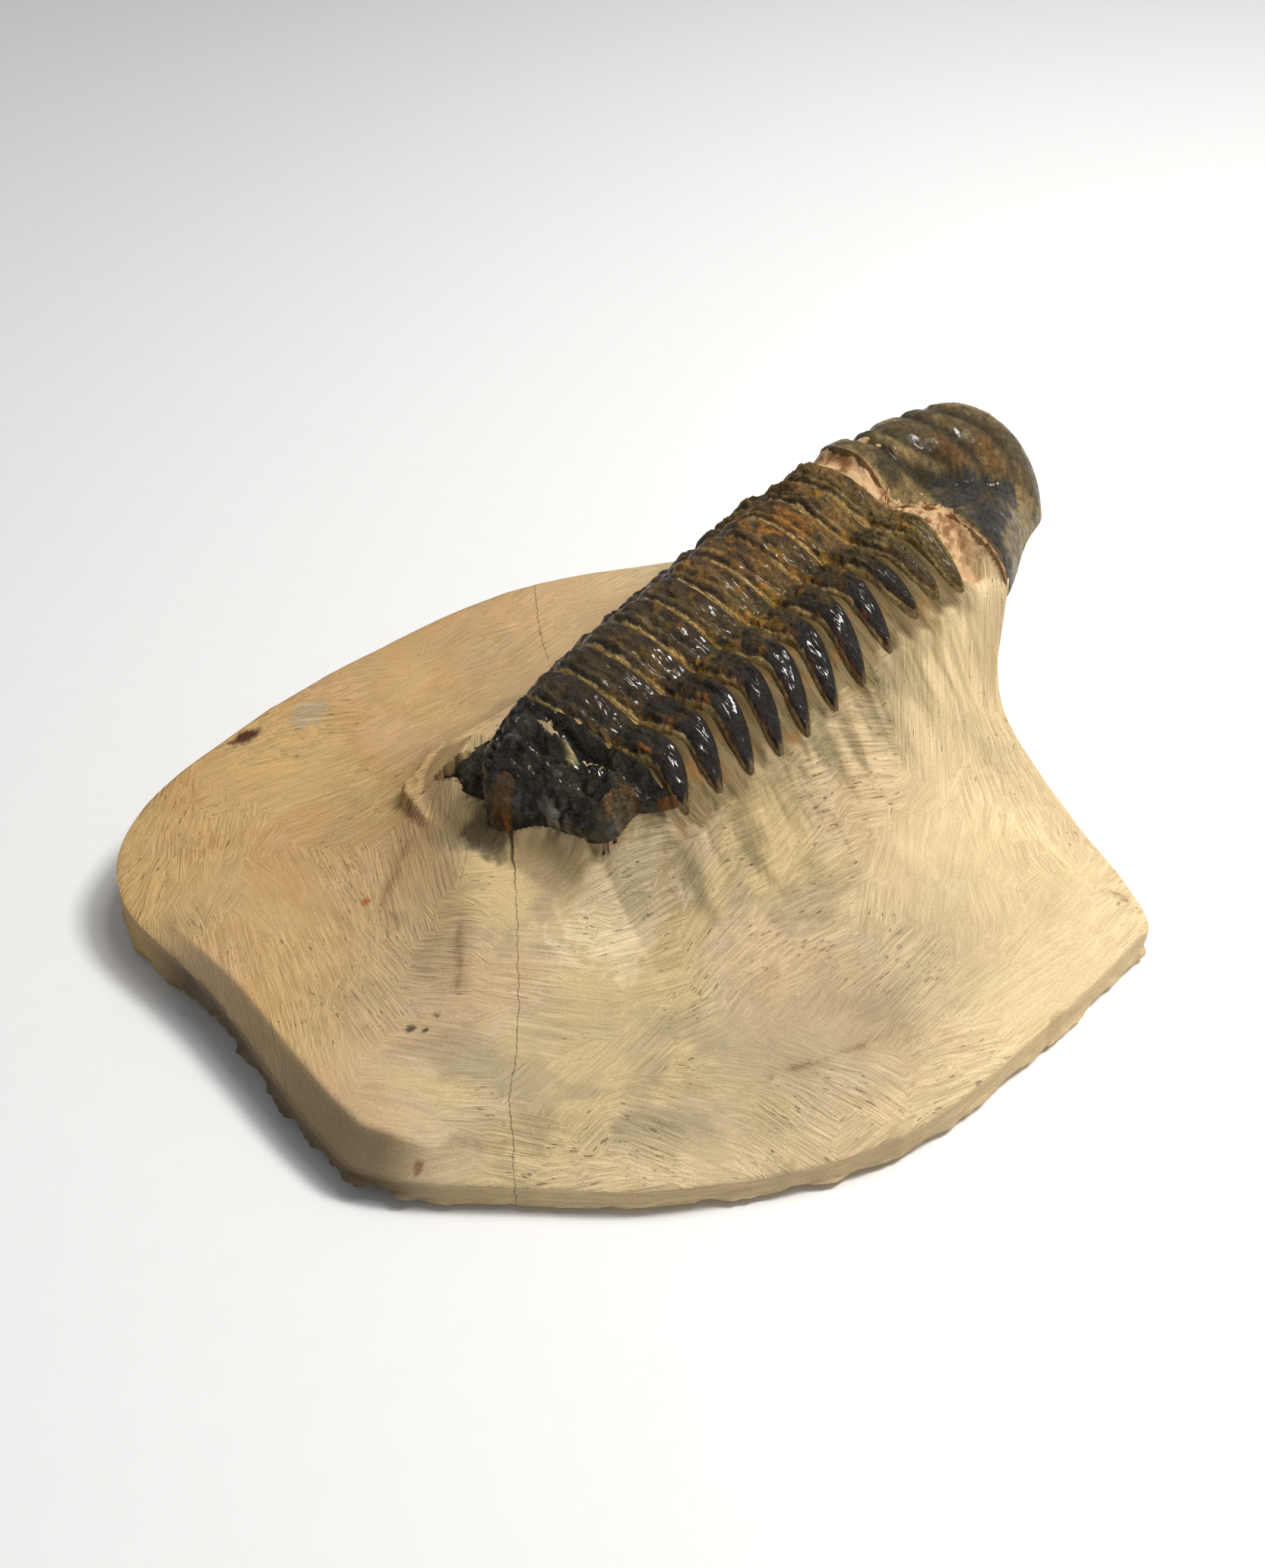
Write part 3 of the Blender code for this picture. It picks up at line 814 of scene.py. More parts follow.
def tail_inside(u, v):
    """The plain underside of the tail."""
    backward, side = half_disc(u, v)
    return tail_at(backward, side, tail_height(backward, side) - 0.8)


tail = make_shell("tail_shield", TAIL_CELLS, tail_outside, tail_inside, "pygidium")
print("tail faces:", len(tail.data.polygons))

# %% [markdown]
# ## The stone under the animal
#
# The shells do not float: limestone fills every seam and stands between the spines, a little
# lower than the shells. That fill is worked out as a height map, from the same cross section
# as the body, and it has to stay below the head and the tail.

# %% Height maps
CELL = 0.25
MAP_X = np.arange(-56.0, 62.0, CELL)
MAP_Y = np.arange(-46.0, 46.0, CELL)
NO_SHELL = -50.0
WIDEST_REACH = 17.0        # the body's own cross section ends here
FLANK_SLOPE = 2.3          # and the stone falls away beyond it
FILL_BELOW = 0.3


def read_map(values, x, y):
    """Reads a height map between its cells."""
    column = np.clip((x - MAP_X[0]) / CELL, 0, len(MAP_X) - 1.001)
    row = np.clip((y - MAP_Y[0]) / CELL, 0, len(MAP_Y) - 1.001)
    i, j = column.astype(int), row.astype(int)
    s, t = column - i, row - j
    low = values[i, j] * (1 - s) + values[i + 1, j] * s
    high = values[i, j + 1] * (1 - s) + values[i + 1, j + 1] * s
    return low * (1 - t) + high * t


def surface_map(points):
    """The highest of the points in each cell."""
    values = np.full((len(MAP_X), len(MAP_Y)), NO_SHELL)
    i = np.round((points[:, 0] - MAP_X[0]) / CELL).astype(int)
    j = np.round((points[:, 1] - MAP_Y[0]) / CELL).astype(int)
    np.maximum.at(values, (i, j), points[:, 2])
    return values


def shrink(values, cells):
    """The lowest value within some cells each way."""
    for axis in (0, 1):
        stack = [np.roll(values, k, axis) for k in range(-cells, cells + 1)]
        values = np.min(stack, axis=0)
    return values


print("cells of a height map:", len(MAP_X), "by", len(MAP_Y))

# %% Fill under the shells
body_fill = np.empty((len(MAP_X), len(MAP_Y)))
body_out = np.empty_like(body_fill)
numbers = np.interp(-MAP_X, [-x for x in SEAMS_X], np.arange(len(SEAMS_X)) + 0.5)
section_out = np.linspace(-25.0, 25.0, 501)
beyond = np.maximum(np.abs(section_out) - WIDEST_REACH, 0)
fill_drop = body_drop(np.minimum(np.abs(section_out), WIDEST_REACH)) + FLANK_SLOPE * beyond
for i, x in enumerate(MAP_X):
    left = left_share(np.clip(numbers[i], 1, SEGMENTS))
    across = section_out * np.where(section_out > 0, left, 1.0)
    _, section_y, section_z = lean(x, across, -fill_drop, float(back_line(x)))
    order = np.maximum.accumulate(section_y)
    body_fill[i] = np.interp(MAP_Y, order, section_z, left=-9, right=-9)
    body_out[i] = np.interp(MAP_Y, order, section_out)
ends = 9 * ease((TAIL_FRONT_X - 0.2 - MAP_X) / 2.0) + 14 * ease((MAP_X - 38.0) / 4.0)
body_fill = body_fill - FILL_BELOW - ends[:, None]

fine = np.linspace(-1, 1, 600)
fine_u, fine_v = (values.ravel() for values in np.meshgrid(fine, fine))
forward, side = half_disc(fine_u, fine_v)
middle = glabella_height(forward, np.abs(side) * head_width(forward))
cover = np.maximum(cheek_height(forward, side), middle)
head_map = surface_map(head_at(forward, side, cover + 0.6))
tail_map = surface_map(tail_at(forward, side, tail_height(forward, side) + 0.6))
under_head = shrink(head_map, 3) - 0.45
under_tail = shrink(tail_map, 2) - 0.5
print("highest fill, mm:", round(float(body_fill.max()), 1))
print("highest stone under the head, mm:", round(float(under_head.max()), 1))

# %% [markdown]
# ## The stone
#
# The block is a scooped slab with a hill up to the animal, a spur below its tail and a round
# shelf to its left. Its front edge was ground to a slope, and the foot is ragged: at the left
# it does not quite touch the table. The top was scraped with a small tool in short strokes,
# patch by patch, each patch its own way.

# %% Stone outline
SLAB_TOP = 7.0
LEDGE_Z = 9.6
SPUR_AT = (-20.0, 8.0)
SPUR_RUN = (0.68, 0.73)    # the way the spur comes down from the tail, as (-x, -y)
SPUR_LENGTH = 34.0
SHELF_CENTRE = (-12.5, 13.8)
SHELF_RADIUS = 9.0
SHELF_WAVES = 5
BEVEL_START = 0.86
TUCK_START = 0.946
FOOT_Z = 1.2
TOP_SHARE = 0.92
STONE_CENTRE = (-5.0, 0.0)
LEFT_WALL = (-0.8, 2.5)    # the bare wall at the left, by the number of the corner in RIM
# Corners of the block's edge: x, y and height.
RIM = [
    (-47.9, 13.7, 5.5), (-51.0, -4.3, 4.0), (-50.1, -11.2, 3.2), (-42.2, -21.2, 3.0),
    (-33.0, -30.9, 3.0), (-17.8, -40.2, 3.4), (0.0, -42.4, 4.0), (15.3, -42.5, 4.0),
    (20.2, -41.2, 4.2), (25.2, -29.3, 6.6), (30.3, -16.5, 11.5), (37.0, -11.6, 18.0),
    (46.0, -2.0, 18.5), (50.0, 8.0, 14.0), (36.4, 24.9, 9.0), (16.3, 38.1, 8.0),
    (-5.7, 41.4, 8.0), (-26.5, 40.4, 8.0), (-39.8, 36.8, 7.6), (-46.4, 29.2, 6.4),
]


def rim_point(turn):
    """The block's edge seen from above, and its height, at a share of a full turn."""
    count = len(RIM)
    corners = np.array(RIM)
    place = turn * count
    i = np.floor(place).astype(int)
    t = (place - i)[..., None]
    a, b, c, d = (corners[(i + k) % count] for k in (-1, 0, 1, 2))
    return 0.5 * (2 * b + (c - a) * t + (2 * a - 5 * b + 4 * c - d) * t ** 2
                  + (3 * b - a - 3 * c + d) * t ** 3)


def animal_distance(x, y):
    """How far outside the animal's outline a point lies, seen from above."""
    along = np.maximum(np.abs(x - 14.0) - 24.0, 0)
    across = np.maximum(np.abs(y - 5.0) - 6.0, 0)
    return np.hypot(along, across) - 10.5


print("corners of the edge:", len(RIM), "highest, mm:", max(z for _, _, z in RIM))


# %% Carved top
def carved_height(x, y):
    """The scooped slab, the spur and shelf by the tail and the hill up to the animal."""
    slab = SLAB_TOP - 2.0 * bump((np.hypot(x + 5, y) - 27) / 12)
    from_spur_x, from_spur_y = x - SPUR_AT[0], y - SPUR_AT[1]
    down_spur = -SPUR_RUN[0] * from_spur_x - SPUR_RUN[1] * from_spur_y
    off_spur = SPUR_RUN[1] * from_spur_x - SPUR_RUN[0] * from_spur_y
    spur_width = 4.6 + 3.4 * ease((off_spur + 2) / 4)
    spur = 3.2 * bump(off_spur / spur_width)
    ground = slab + spur * ease(1 - down_spur / SPUR_LENGTH) * ease(1 + down_spur / 8)
    distance = animal_distance(x, y)
    edge = np.maximum(back_line(x) - 7.4 - 0.22 * (y + 11.0), LEDGE_Z)
    reach = 4.0 + 2.5 * ease((x + 10) / 40)
    hill = ground + (edge - ground) * np.exp(-np.maximum(distance, 0) / reach)
    hill = hill + 1.2 * bump(np.hypot((x + 9.5) / 3.5, (y + 11.5) / 5.0))
    turn = np.arctan2(y - SHELF_CENTRE[1], x - SHELF_CENTRE[0])
    off_shelf = np.hypot(x - SHELF_CENTRE[0], y - SHELF_CENTRE[1]) - SHELF_RADIUS
    off_shelf = off_shelf + 0.5 - 0.4 * np.cos(SHELF_WAVES * (turn - 2.45))
    off_shelf = off_shelf - 0.5 * rough(x, y, 0.0, 0.4, 3)
    shelf = ground + (LEDGE_Z - 0.4 - ground) * (1 - ease(off_shelf / 1.2))
    rise = np.clip(-distance, 0, 9) * ease((TAIL_FRONT_X + 2.0 - x) / 3.0)
    return np.maximum(hill + rise, shelf)


def near_edge(x, y, points, reach):
    """For each place, the nearest of the points within reach: how far, and its height."""
    away = np.full(len(x), FAR)
    height = np.zeros(len(x))
    low, high = points[:, :2].min(axis=0) - reach, points[:, :2].max(axis=0) + reach
    close = np.flatnonzero((x > low[0]) & (x < high[0]) & (y > low[1]) & (y < high[1]))
    gaps = np.hypot(x[close, None] - points[:, 0], y[close, None] - points[:, 1])
    nearest = gaps.argmin(axis=1)
    away[close] = gaps[np.arange(len(close)), nearest]
    height[close] = points[nearest, 2]
    return away, height


shelf_x, shelf_y = np.array([SHELF_CENTRE]).T
print("stone at the middle of the shelf, mm:", round(float(carved_height(shelf_x, shelf_y)[0]), 1))

# %% [markdown]
# The stone has to meet the shells along two edges: the back edge of the head, where it is
# banked up against the shell, and the rim of the tail, where it falls away in a collar. Both
# edges are sampled as points; the tail's is smoothed, or its spines would show as folds.

# %% Edges that the stone meets
EDGE_SAMPLES = 240
SMOOTHED_OVER = 55
BANK_REACH = 3.0
BANK_SLOPE = 1.6
COLLAR_REACH = 6.0

edge_run = np.linspace(-1, 1, EDGE_SAMPLES)
forward, side = half_disc(np.full(EDGE_SAMPLES, -1.0), edge_run)
middle = glabella_height(0.0, np.abs(side) * head_width(0.0))
head_back = head_at(forward, side, np.maximum(cheek_height(forward, side), middle) + 0.6)

backward, side = half_disc(np.full(EDGE_SAMPLES, 1.0), edge_run)
tail_rim = tail_at(backward, side, tail_height(backward, side))
even = np.full(SMOOTHED_OVER, 1 / SMOOTHED_OVER)
padded = np.pad(tail_rim, ((SMOOTHED_OVER // 2, SMOOTHED_OVER // 2), (0, 0)), "edge")
tail_rim = np.column_stack([np.convolve(line, even, "valid") for line in padded.T])
print("points along each edge:", len(head_back), len(tail_rim))


# %% Stone height
def banked(top, x, y, below):
    """Raises the stone against the head's back edge, to a little below the shell."""
    away, height = near_edge(x, y, head_back, BANK_REACH)
    bank = height - below - BANK_SLOPE * away
    return np.where((away < BANK_REACH) & (x > SEAMS_X[0]), np.maximum(top, bank), top)


def stone_height(x, y):
    """The top of the stone: the carved block, or the fill under the shells where it is higher."""
    fill = read_map(body_fill, x, y)
    away, height = near_edge(x, y, head_back, 5.0)
    fill = np.where(away < 5.0, np.minimum(fill, height - 0.3 + 0.7 * away), fill)
    top = banked(soft_max(carved_height(x, y), fill, 1.3), x, y, 0.5)
    away, height = near_edge(x, y, tail_rim, COLLAR_REACH)
    beside_tail = away < COLLAR_REACH
    collar = height - 0.35 - 1.5 * away - 0.45 * away ** 2
    top = soft_max(top, np.where(beside_tail, collar, -9.0), 1.2)
    lid = height - 0.4 + 0.6 * np.maximum(away - 1.5, 0)
    top = np.where(beside_tail, np.minimum(top, lid), top)
    covered = read_map(under_head, x, y)
    bedded = np.where(y < 5.0, covered - 0.25 * np.maximum(x - 37.0, 0) ** 1.4, -9.0)
    bedded = np.maximum(np.minimum(top, covered), bedded)
    top = np.where((covered > 0) & (x > 32.0), bedded, top)
    covered = read_map(under_tail, x, y)
    return np.where((covered > 0) & (x < TAIL_FRONT_X + 0.5), covered, top)


slab_x, slab_y = np.array([(-30.0, -20.0)]).T
print("slab in front of the tail, mm:", round(float(stone_height(slab_x, slab_y)[0]), 1))

# %% [markdown]
# A scraped patch is a set of points that are nearest to the same spot, with one direction of
# stroke. Two layers of patches are laid over each other: where a patch of the upper layer
# ends, the lower layer shows, so no border is seen. Each corner of the stone stores how far
# along and across the strokes it lies, so the finish can stretch its grain that way.

# %% Scraper strokes
# Which way the scraper went at a few places: x, y and the direction in degrees.
STROKES = [
    (-24, -6, 130), (-18, -8, 134), (-7, -14, 172), (-2, -19, 173), (4, -25, 31), (-18, -19, 173),
    (-12, -26, 1), (-6, -31, 1), (-29, -27, 131), (-21, -33, 101), (-35, -19, 172), (-41, -20, 136),
    (-26, -12, 138), (-24, 0, 123), (-32, -7, 119), (-18, -40, 163), (-27, 31, 174), (-22, 25, 167),
    (-37, 30, 35), (-43, 15, 63), (-37, 13, 68), (-33, 9, 76), (-42, 5, 56), (-38, 2, 64),
    (-29, -1, 113), (-34, -4, 108), (-40, -7, 133), (-24, 11, 52), (-45, -1, 54), (-8, 36, 171),
    (24, -19, 60), (20, -28, 54), (15, -38, 2), (-2, -34, 177), (-14, -9, 143), (13, -13, 170),
    (6, 35, 172), (30, 26, 150), (20, 30, 160),
]
PATCHES = 260
STROKE_SPREAD = 9.0
PATCH_GRAIN_STEP = 3.7     # keeps the grain of one patch apart from the next


def scatter_patches():
    """Random spots on the stone, each with about the stroke direction of the nearest place."""
    spot_x = RANDOM.uniform(-54, 54, PATCHES)
    spot_y = RANDOM.uniform(-46, 46, PATCHES)
    place_x, place_y, direction = np.array(STROKES, float).T
    nearest = np.hypot(spot_x[:, None] - place_x, spot_y[:, None] - place_y).argmin(axis=1)
    spread = RANDOM.normal(0, STROKE_SPREAD, PATCHES)
    return spot_x, spot_y, np.radians(direction[nearest] + spread)


def nearest_patch(x, y, patches):
    """Each place's patch, and how surely it lies in that patch and not in the next one."""
    jog_x = x + 1.5 * rough(x, y, 0.0, 0.35, 3)
    jog_y = y + 1.5 * rough(x, y, 9.0, 0.35, 3)
    patch = np.zeros(len(x), int)
    best = np.full(len(x), FAR)
    second = np.full(len(x), FAR)
    for k, (spot_x, spot_y) in enumerate(zip(*patches[:2])):
        away = np.hypot(jog_x - spot_x, jog_y - spot_y)
        patch = np.where(away < best, k, patch)
        second = np.minimum(second, np.maximum(best, away))
        best = np.minimum(best, away)
    return patch, ease((second - best - 0.3) / 1.2)


def along_strokes(x, y, patch, patches):
    """How far along and across its patch's strokes a place lies."""
    turn = patches[2][patch]
    along = x * np.cos(turn) + y * np.sin(turn)
    across = y * np.cos(turn) - x * np.sin(turn)
    return np.stack([along, across, patch * PATCH_GRAIN_STEP], axis=-1)


upper_patches = scatter_patches()
lower_patches = scatter_patches()
print("scraped patches:", 2 * PATCHES)

# %% [markdown]
# The paint of the stone follows its making and the light: cream where it was scraped last, ochre
# at the back, deepened there by painted shade, grey painted shade in the hollows, stain and
# painted shade round the tail, painted light on the side towards the window, and bare grey-brown
# on the wall at the left, darkened there by painted shade.
# Natural marks are set one by one: two cracks, a dark red stain, pits and chipped edges. Their
# places and the corners of the lines are x and y on the stone.

# %% Stone marks
CRACK_FRONT = [
    (-15.4, 9.2), (-18.2, 5.7), (-22.7, 0.3), (-30.3, -7.7), (-33.8, -10.9), (-38.6, -15.1),
    (-46.0, -23.5),
]
CRACK_BACK = [(19.5, 41.0), (16.7, 37.9), (12.9, 33.5), (8.7, 27.8)]
# Dark lines left between patches and along the shelf's foot, each with a band of painted shade, as
# corners and how strong they are.
CREASES = [
    ([(-20.7, -29.3), (-14.2, -32.4), (-9.7, -34.0)], 0.55),
    ([(-45.9, -12.0), (-42.5, -16.3), (-38.5, -22.9)], 0.35),
    ([(-27.7, 2.9), (-30.0, 0.4), (-32.9, -2.4)], 0.5),
    ([(-17.9, 19.9), (-22.9, 15.0), (-27.2, 13.1), (-29.3, 11.4), (-30.6, 8.2)], 0.45),
    ([(19.2, -38.1), (19.9, -38.5), (19.5, -39.4)], 0.9),
]
# Marks: x, y, half their length along x and along y, colour and strength. The dark grey mark
# at (-19.6, 7.6) is partly a stain and partly painted shade below the brink by the tail; the
# pale one at (-18.8, -8.4) is a painted highlight on a facet beside the spur that faces the window.
MARKS = [
    (-23.7, 39.4, 2.0, 0.9, (70, 34, 24), 0.95), (-30.4, 13.1, 0.6, 0.45, (176, 96, 34), 0.9),
    (-38.6, -2.6, 0.5, 0.4, (60, 58, 54), 0.9), (-37.9, -3.7, 0.45, 0.35, (60, 58, 54), 0.9),
    (-36.0, -3.2, 0.35, 0.5, (84, 62, 46), 0.7), (-19.0, -40.1, 3.2, 0.8, (128, 112, 84), 0.75),
    (3.2, -42.6, 1.4, 0.5, (120, 104, 78), 0.7), (8.7, -43.2, 1.0, 0.5, (122, 108, 82), 0.7),
    (-26.4, -35.4, 1.2, 0.5, (130, 114, 86), 0.7), (15.9, -43.2, 1.4, 0.5, (120, 104, 78), 0.6),
    (-47.6, -13.4, 0.5, 0.4, (120, 48, 34), 0.7), (-19.6, 7.6, 2.4, 3.0, (88, 80, 62), 0.75),
    (-16.9, 38.0, 3.0, 1.6, (160, 156, 140), 0.5), (-18.8, -8.4, 6.2, 5.2, (230, 212, 178), 0.6),
]


def with_marks(paint, x, y, shown):
    """Adds the single marks and the dark lines with their band of painted shade, the marks only
    where they are shown.
    """
    for mark_x, mark_y, long_x, long_y, colour, strength in MARKS:
        ragged = 1 + 0.35 * rough(x, y, mark_x, 1.1, 3)
        away = np.hypot((x - mark_x) / long_x, (y - mark_y) / long_y)
        paint = blend(paint, srgb(*colour), ease(2.5 * (1 - away * ragged)) * strength * shown)
    for corners, strength in CREASES:
        away, _ = line_distance(x + 0.5 * rough(x, y, 3.0, 0.5, 3), y, corners)
        # Painted shade: a narrow dark line with a wider soft band of shade round it.
        line = 0.7 * bump(away / 0.3) + 0.35 * bump(away / 1.3)
        broken = ease(0.7 + 1.2 * rough(x, y, 8.0, 0.5, 3))
        paint = blend(paint, CREASE_SHADE_BROWN, strength * line * broken)
    return paint


print("marks:", len(MARKS), "dark lines:", len(CREASES))

# %% Stone paint
YELLOW_STONE = srgb(208, 184, 130)
PINK_STONE = srgb(196, 162, 126)
SMUDGE_GREY = srgb(156, 142, 114)
PAINTED_LIGHT_STONE = srgb(234, 210, 166)
PAINTED_BEVEL_LIGHT = srgb(226, 202, 160)
TAIL_RIM_STAIN_AND_SHADE = srgb(92, 80, 58)
SKIRT_SPECKS_AND_SHADE = srgb(138, 124, 92)
BETWEEN_HIGH = srgb(100, 82, 52)
BETWEEN_LOW = srgb(140, 122, 90)
BETWEEN_DARK = srgb(92, 76, 48)
BETWEEN_RUST = srgb(150, 104, 52)
RUBBLE_PINK = srgb(204, 170, 130)
RUBBLE_BROWN = srgb(136, 96, 62)
CREASE_SHADE_BROWN = srgb(104, 74, 48)
WALL_GREY_AND_SHADE = srgb(124, 108, 86)
WALL_FOOT_SHADE = srgb(88, 76, 62)
SIDE_BROWN = srgb(150, 128, 96)
print("wall grey as light levels:", [round(float(level), 2) for level in WALL_GREY_AND_SHADE])


def fill_paint(x, y, out):
    """Colours of the stone between the shells."""
    seams = layered(PALE_SEAM, [(GOLD, 0.5 * bump((out - 6.9) / 1.8))])
    fibre = noise(x * 2.2, y * 0.35, 0.0, 1.0)
    low = ease((out - 11.0) / 5.0)
    between = layered(BETWEEN_HIGH, [
        (BETWEEN_LOW, low),
        (BETWEEN_DARK, ease(2.4 * fibre - 0.65) * (1 - 0.3 * low)),
        (BETWEEN_RUST, 0.5 * ease(3 * noise(x, y, 5.0, 0.8) - 1.7)),
    ])
    return blend(seams, between, ease((out - 8.5) / 2.0))


def rubble_paint(x, y, z, out):
    """Colours of the crumbled stone in the gap behind the head."""
    crumbly = ease(1.8 * rough(x, y, z, 1.1, 4) - 0.1) * (1 - 0.6 * ease((out - 12) / 4))
    return layered(RUBBLE_PINK, [(RUBBLE_BROWN, crumbly)])


def stone_paint(x, y, z, carved, out, in_body, in_gap, down, wall):
    """Colours of the stone, from where a point lies on it."""
    cloud = ease(0.5 + 0.9 * rough(x, y, 0.0, 0.06, 3))
    hue = rough(x, y, 40.0, 0.11, 4)
    smudge = ease(1.3 * rough(x, y, 80.0, 0.17, 4) - 0.15)
    # Ochre at the back: a real stain, deepened as painted shade on the side away from the window.
    warm = ease((y - 0.55 * x - 8) / 30)
    # Painted light: the stone is painted lighter towards the window, less so near the head's right
    # corner.
    bright = ease((x - 0.9 * y - 14) / 26)
    bright = bright * (1 - 0.65 * ease((x - 19) / 7) * ease((-11 - y) / 5))
    # Painted shade: grey in the low hollows of the carved top.
    hollow_shade = ease((7.3 - carved) / 2.2) * (1 - down)
    # Round the tail's rim the stone is darker: partly a stain, partly painted shade under the rim.
    away, _ = near_edge(x, y, tail_rim, 5.0)
    rim_stain_and_shade = bump(away / 1.1) * ease(0.55 + rough(x * 0.6, y, 0.0, 1.1, 3)) * (x < TAIL_FRONT_X)
    beside = ease((x - TAIL_FRONT_X + 3) / 4) * ease((34 - x) / 4)
    fibre = noise(x * 2.2, y * 0.35, 0.0, 1.0)
    # Beside the spine tips the stone is greyer: specks of its own, with painted shade round the
    # tips.
    skirt = ease((20.0 + 2.2 * rough(x, y * 0.3, 0.0, 0.8, 3) - out) / 3.0)
    skirt = skirt * (1 - in_body) * beside
    paint = layered(CREAM, [
        (OCHRE_STAIN_AND_SHADE, np.clip(0.9 * warm + 0.2 * (cloud - 0.5), 0, 1)),
        (YELLOW_STONE, 0.5 * ease(1.5 * hue) * (1 - 0.5 * warm)),
        (PINK_STONE, 0.5 * ease(-1.5 * hue)),
        (SMUDGE_GREY, 0.6 * smudge * (1 - 0.6 * warm)),
        (PAINTED_LIGHT_STONE, 0.8 * bright),
        (HOLLOW_SHADE_GREY, 0.45 * hollow_shade * (1 - 0.7 * warm) * (0.5 + 0.5 * cloud)),
        (TAIL_RIM_STAIN_AND_SHADE, np.clip(0.85 * rim_stain_and_shade, 0, 0.9)),
        (SKIRT_SPECKS_AND_SHADE, np.clip(0.9 * skirt * (0.3 + 0.95 * fibre), 0, 0.85)),
        (fill_paint(x, y, out), in_body),
        (rubble_paint(x, y, z, out), in_gap),
    ])
    paint = with_marks(paint, x, y, (1 - in_body) * (1 - 0.5 * ease(down * 4)))
    # The bare wall: its own grey-brown, darkened as painted shade where it faces away from the
    # window, and darker painted shade towards its foot.
    paint = blend(paint, WALL_GREY_AND_SHADE, 0.9 * wall)
    paint = blend(paint, WALL_FOOT_SHADE, 0.8 * wall * ease(down * 3))
    return blend(paint, SIDE_BROWN, 0.4 * ease(down * 4) * (1 - wall))


# %% [markdown]
# The stone is one square grid bent into shape: its middle becomes the top, its outer strip the
# sides, and a flat base closes it. The top comes down to the edge in a ground bevel; where the
# edge is high it sweeps down instead, and at the bare wall on the left it drops at once.

# %% Stone top and sides
WALL_LIP = 0.14            # how much of the bevel lies above the bare wall
PEAK = (34.8, -13.2)       # a high point of the edge by the head's right corner
PEAK_RISE = 5.6
SHELL_TIPS = 17.4          # the shells end about this far out
GAP_X = 30.6               # crumbled stone fills the gap from here to the head


def wall_share(turn):
    """1 along the bare wall at the left, 0 elsewhere."""
    corner = (turn * len(RIM) + 10) % len(RIM) - 10
    return ease((corner - LEFT_WALL[0]) / 0.6) * ease((LEFT_WALL[1] - corner) / 0.6)


def brought_down(carved, edge_z, inner, left_wall):
    """The top, brought down to the height of the edge towards the rim."""
    swept = ease((inner - 0.8) / 0.2)
    shoulder = share(inner, BEVEL_START, TUCK_START)
    tuck = share(inner, TUCK_START, 1.0)
    steep = WALL_LIP * shoulder + (1 - WALL_LIP) * tuck
    bevel = blend(share(inner, BEVEL_START, 1.0), steep, left_wall)
    lowered = bevel + (swept - bevel) * ease((edge_z - 5) / 2)
    lowered = lowered * ease((9.0 - (carved - edge_z)) / 4.0)
    return carved + (edge_z - carved) * lowered


def foot_height(edge_x, edge_y, edge_z, left_wall):
    """Where the sides end above the base: ragged, and higher under the bare wall."""
    ragged = ease(0.5 + rough(edge_x, edge_y, 0.0, 0.16, 3))
    return np.minimum(FOOT_Z - 0.4 + left_wall * (0.9 + 1.6 * ragged), edge_z - 1.2)


def shell_zones(x, y, down):
    """How far out from the animal's middle a place is, and if it is between shells or rubble."""
    out = np.abs(read_map(body_out, x, y))
    tips = SHELL_TIPS + 0.9 * rough(x, y * 0.3, 5.0, 0.9, 3)
    in_body = ease((tips - out) / 1.2) * ease(x - TAIL_FRONT_X) * ease((39.0 - x) / 2.0)
    in_body = in_body * (1 - ease(down * 6))
    return out, in_body, in_body * ease((x - GAP_X) / 0.8)


def top_relief(x, y, top, patch, over, in_body, in_gap):
    """Low waves and tool marks on the open top, fibres between shells, crumbs in the gap."""
    strokes = along_strokes(x, y, patch, upper_patches)
    gouges = noise(strokes[:, 0] * 0.16, strokes[:, 1] * 0.9, strokes[:, 2], 1.0) - 0.5
    open_top = 0.16 * (rough(x, y, 0.0, 0.12, 3) + gouges * over) * (1 - in_body)
    fibres = 0.22 * rough(x * 1.2, y * 0.2, 0.0, 1.4, 3) * in_body * (1 - in_gap)
    crumbs = 0.34 * rough(x, y, top, 0.9, 4) * in_gap
    return open_top, fibres + crumbs


def crack_looks(x, y):
    """How far each place lies from the nearer crack, and how wide that crack is there."""
    front, front_side = line_distance(x, y, CRACK_FRONT)
    back, back_side = line_distance(x, y, CRACK_BACK)
    on_front = front < back
    crack = np.where(on_front, front * front_side, back * back_side)
    width = 0.05 + 0.2 * ease((x + 22.5) / 5) * on_front
    return {"crack": np.clip(crack, -4, 4), "crack_width": width}


print("bare wall a twentieth of the way round:", float(wall_share(0.05)))

# %% Stone mesh
BASE_INSET = 0.035
WALL_INSET = 0.085         # added under the bare wall, which is undercut
SIDE_GRAIN = 900.0         # where in the noise the grain of the sides and the fill is read
FILL_GRAIN = 950.0
SHADE_STEP = 0.618         # spreads the shades of the patches evenly


